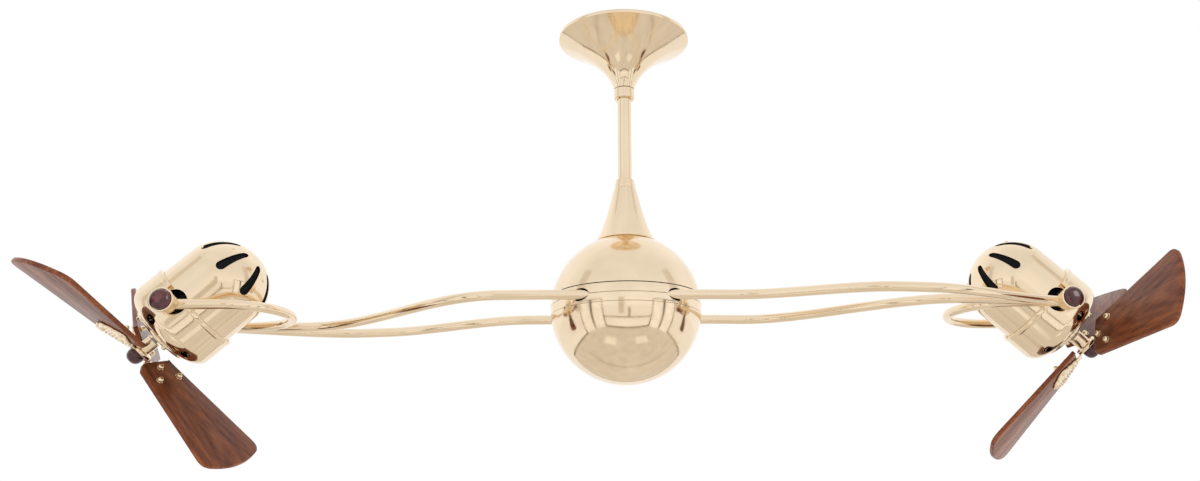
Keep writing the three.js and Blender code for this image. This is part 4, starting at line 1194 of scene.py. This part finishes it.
def camera():
    """The photograph's view: a long lens a little below the sphere, tilted up."""
    turn, pitch, roll = radians(3.73), radians(15.756), radians(0.98)
    forward = Vector((sin(turn) * cos(pitch), cos(turn) * cos(pitch), sin(pitch)))
    right = Vector((cos(turn), -sin(turn), 0))
    up = right.cross(forward)
    across = right * cos(roll) - up * sin(roll)
    upward = right * sin(roll) + up * cos(roll)
    data = bpy.data.cameras.new("photo_view")
    data.sensor_width = 36
    data.lens = 32.707
    data.shift_x = -0.0462
    data.clip_end = 60
    made = linked("photo_view", data)
    rows = [[across[k], upward[k], -forward[k], (-0.05199, -1.41854, -0.69967)[k]] for k in range(3)]
    made.matrix_world = Matrix([*rows, [0, 0, 0, 1]])
    bpy.context.scene.camera = made


floor()
world()
lamp("key_light", (-1.6, -1.8, 0.9), ROOM_CENTRE, (1.6, 1.2), 38)
lamp("fill_light", (1.9, -1.4, -0.2), ROOM_CENTRE, (1.4, 1.4), 16)
lamp("under_light", (0.0, -0.8, -2.0), ROOM_CENTRE, (1.8, 1.2), 10)
for name, turn in (("left", radians(-146)), ("right", radians(-34))):
    for k, lean in enumerate((-0.17, 0.17)):
        spot = Vector((2.9 * cos(turn + lean), 2.9 * sin(turn + lean), -1.15))
        card(f"{name}_pane_{k}", spot, (0, 0, -0.7), (0.82, 2.1), (1.1, 1.09, 1.07))
    wall = Vector((3.0 * cos(turn), 3.0 * sin(turn), -1.17))
    card(f"{name}_window_frame", wall, (0, 0, -0.7), (2.1, 2.3), (0.20, 0.155, 0.10))
for name, x, y in (("left", -0.85, -1.0), ("right", 0.75, -1.1)):
    card(f"{name}_light_patch", (x, y, -2.18), (x, y, 0), (0.62, 0.5), (1.05, 1.03, 0.98))
for name, turn in (("left", radians(-166)), ("right", radians(-14))):
    spot = (3.4 * cos(turn), 3.4 * sin(turn), 1.1)
    card(f"{name}_curtain", spot, (0, 0, 0.8), (0.9, 3.6), (0.80, 0.76, 0.704))
card("stand", (0.12, -2.6, -1.1), ROOM_CENTRE, (0.16, 0.7), (0.42, 0.35, 0.27))
card("door", (-0.55, -3.4, -0.7), ROOM_CENTRE, (0.5, 1.5), (0.74, 0.69, 0.60))
card("rug", (0.1, 0.5, -2.2), (0.1, 0.5, 0), (5.4, 5.4), (0.80, 0.76, 0.70))
card("rug_edge", (0.1, 0.5, -2.22), (0.1, 0.5, 0), (5.86, 5.86), (0.30, 0.24, 0.16))
card("skirting", (0, -3.7, -1.95), (0, 0, -1.2), (7.0, 0.13), (0.34, 0.28, 0.19))
card("rug_stripe", (0.1, 0.5, -2.19), (0.1, 0.5, 0), (3.4, 0.05), (0.5, 0.43, 0.34))
spark()
camera()
bpy.context.scene.view_settings.view_transform = "Standard"
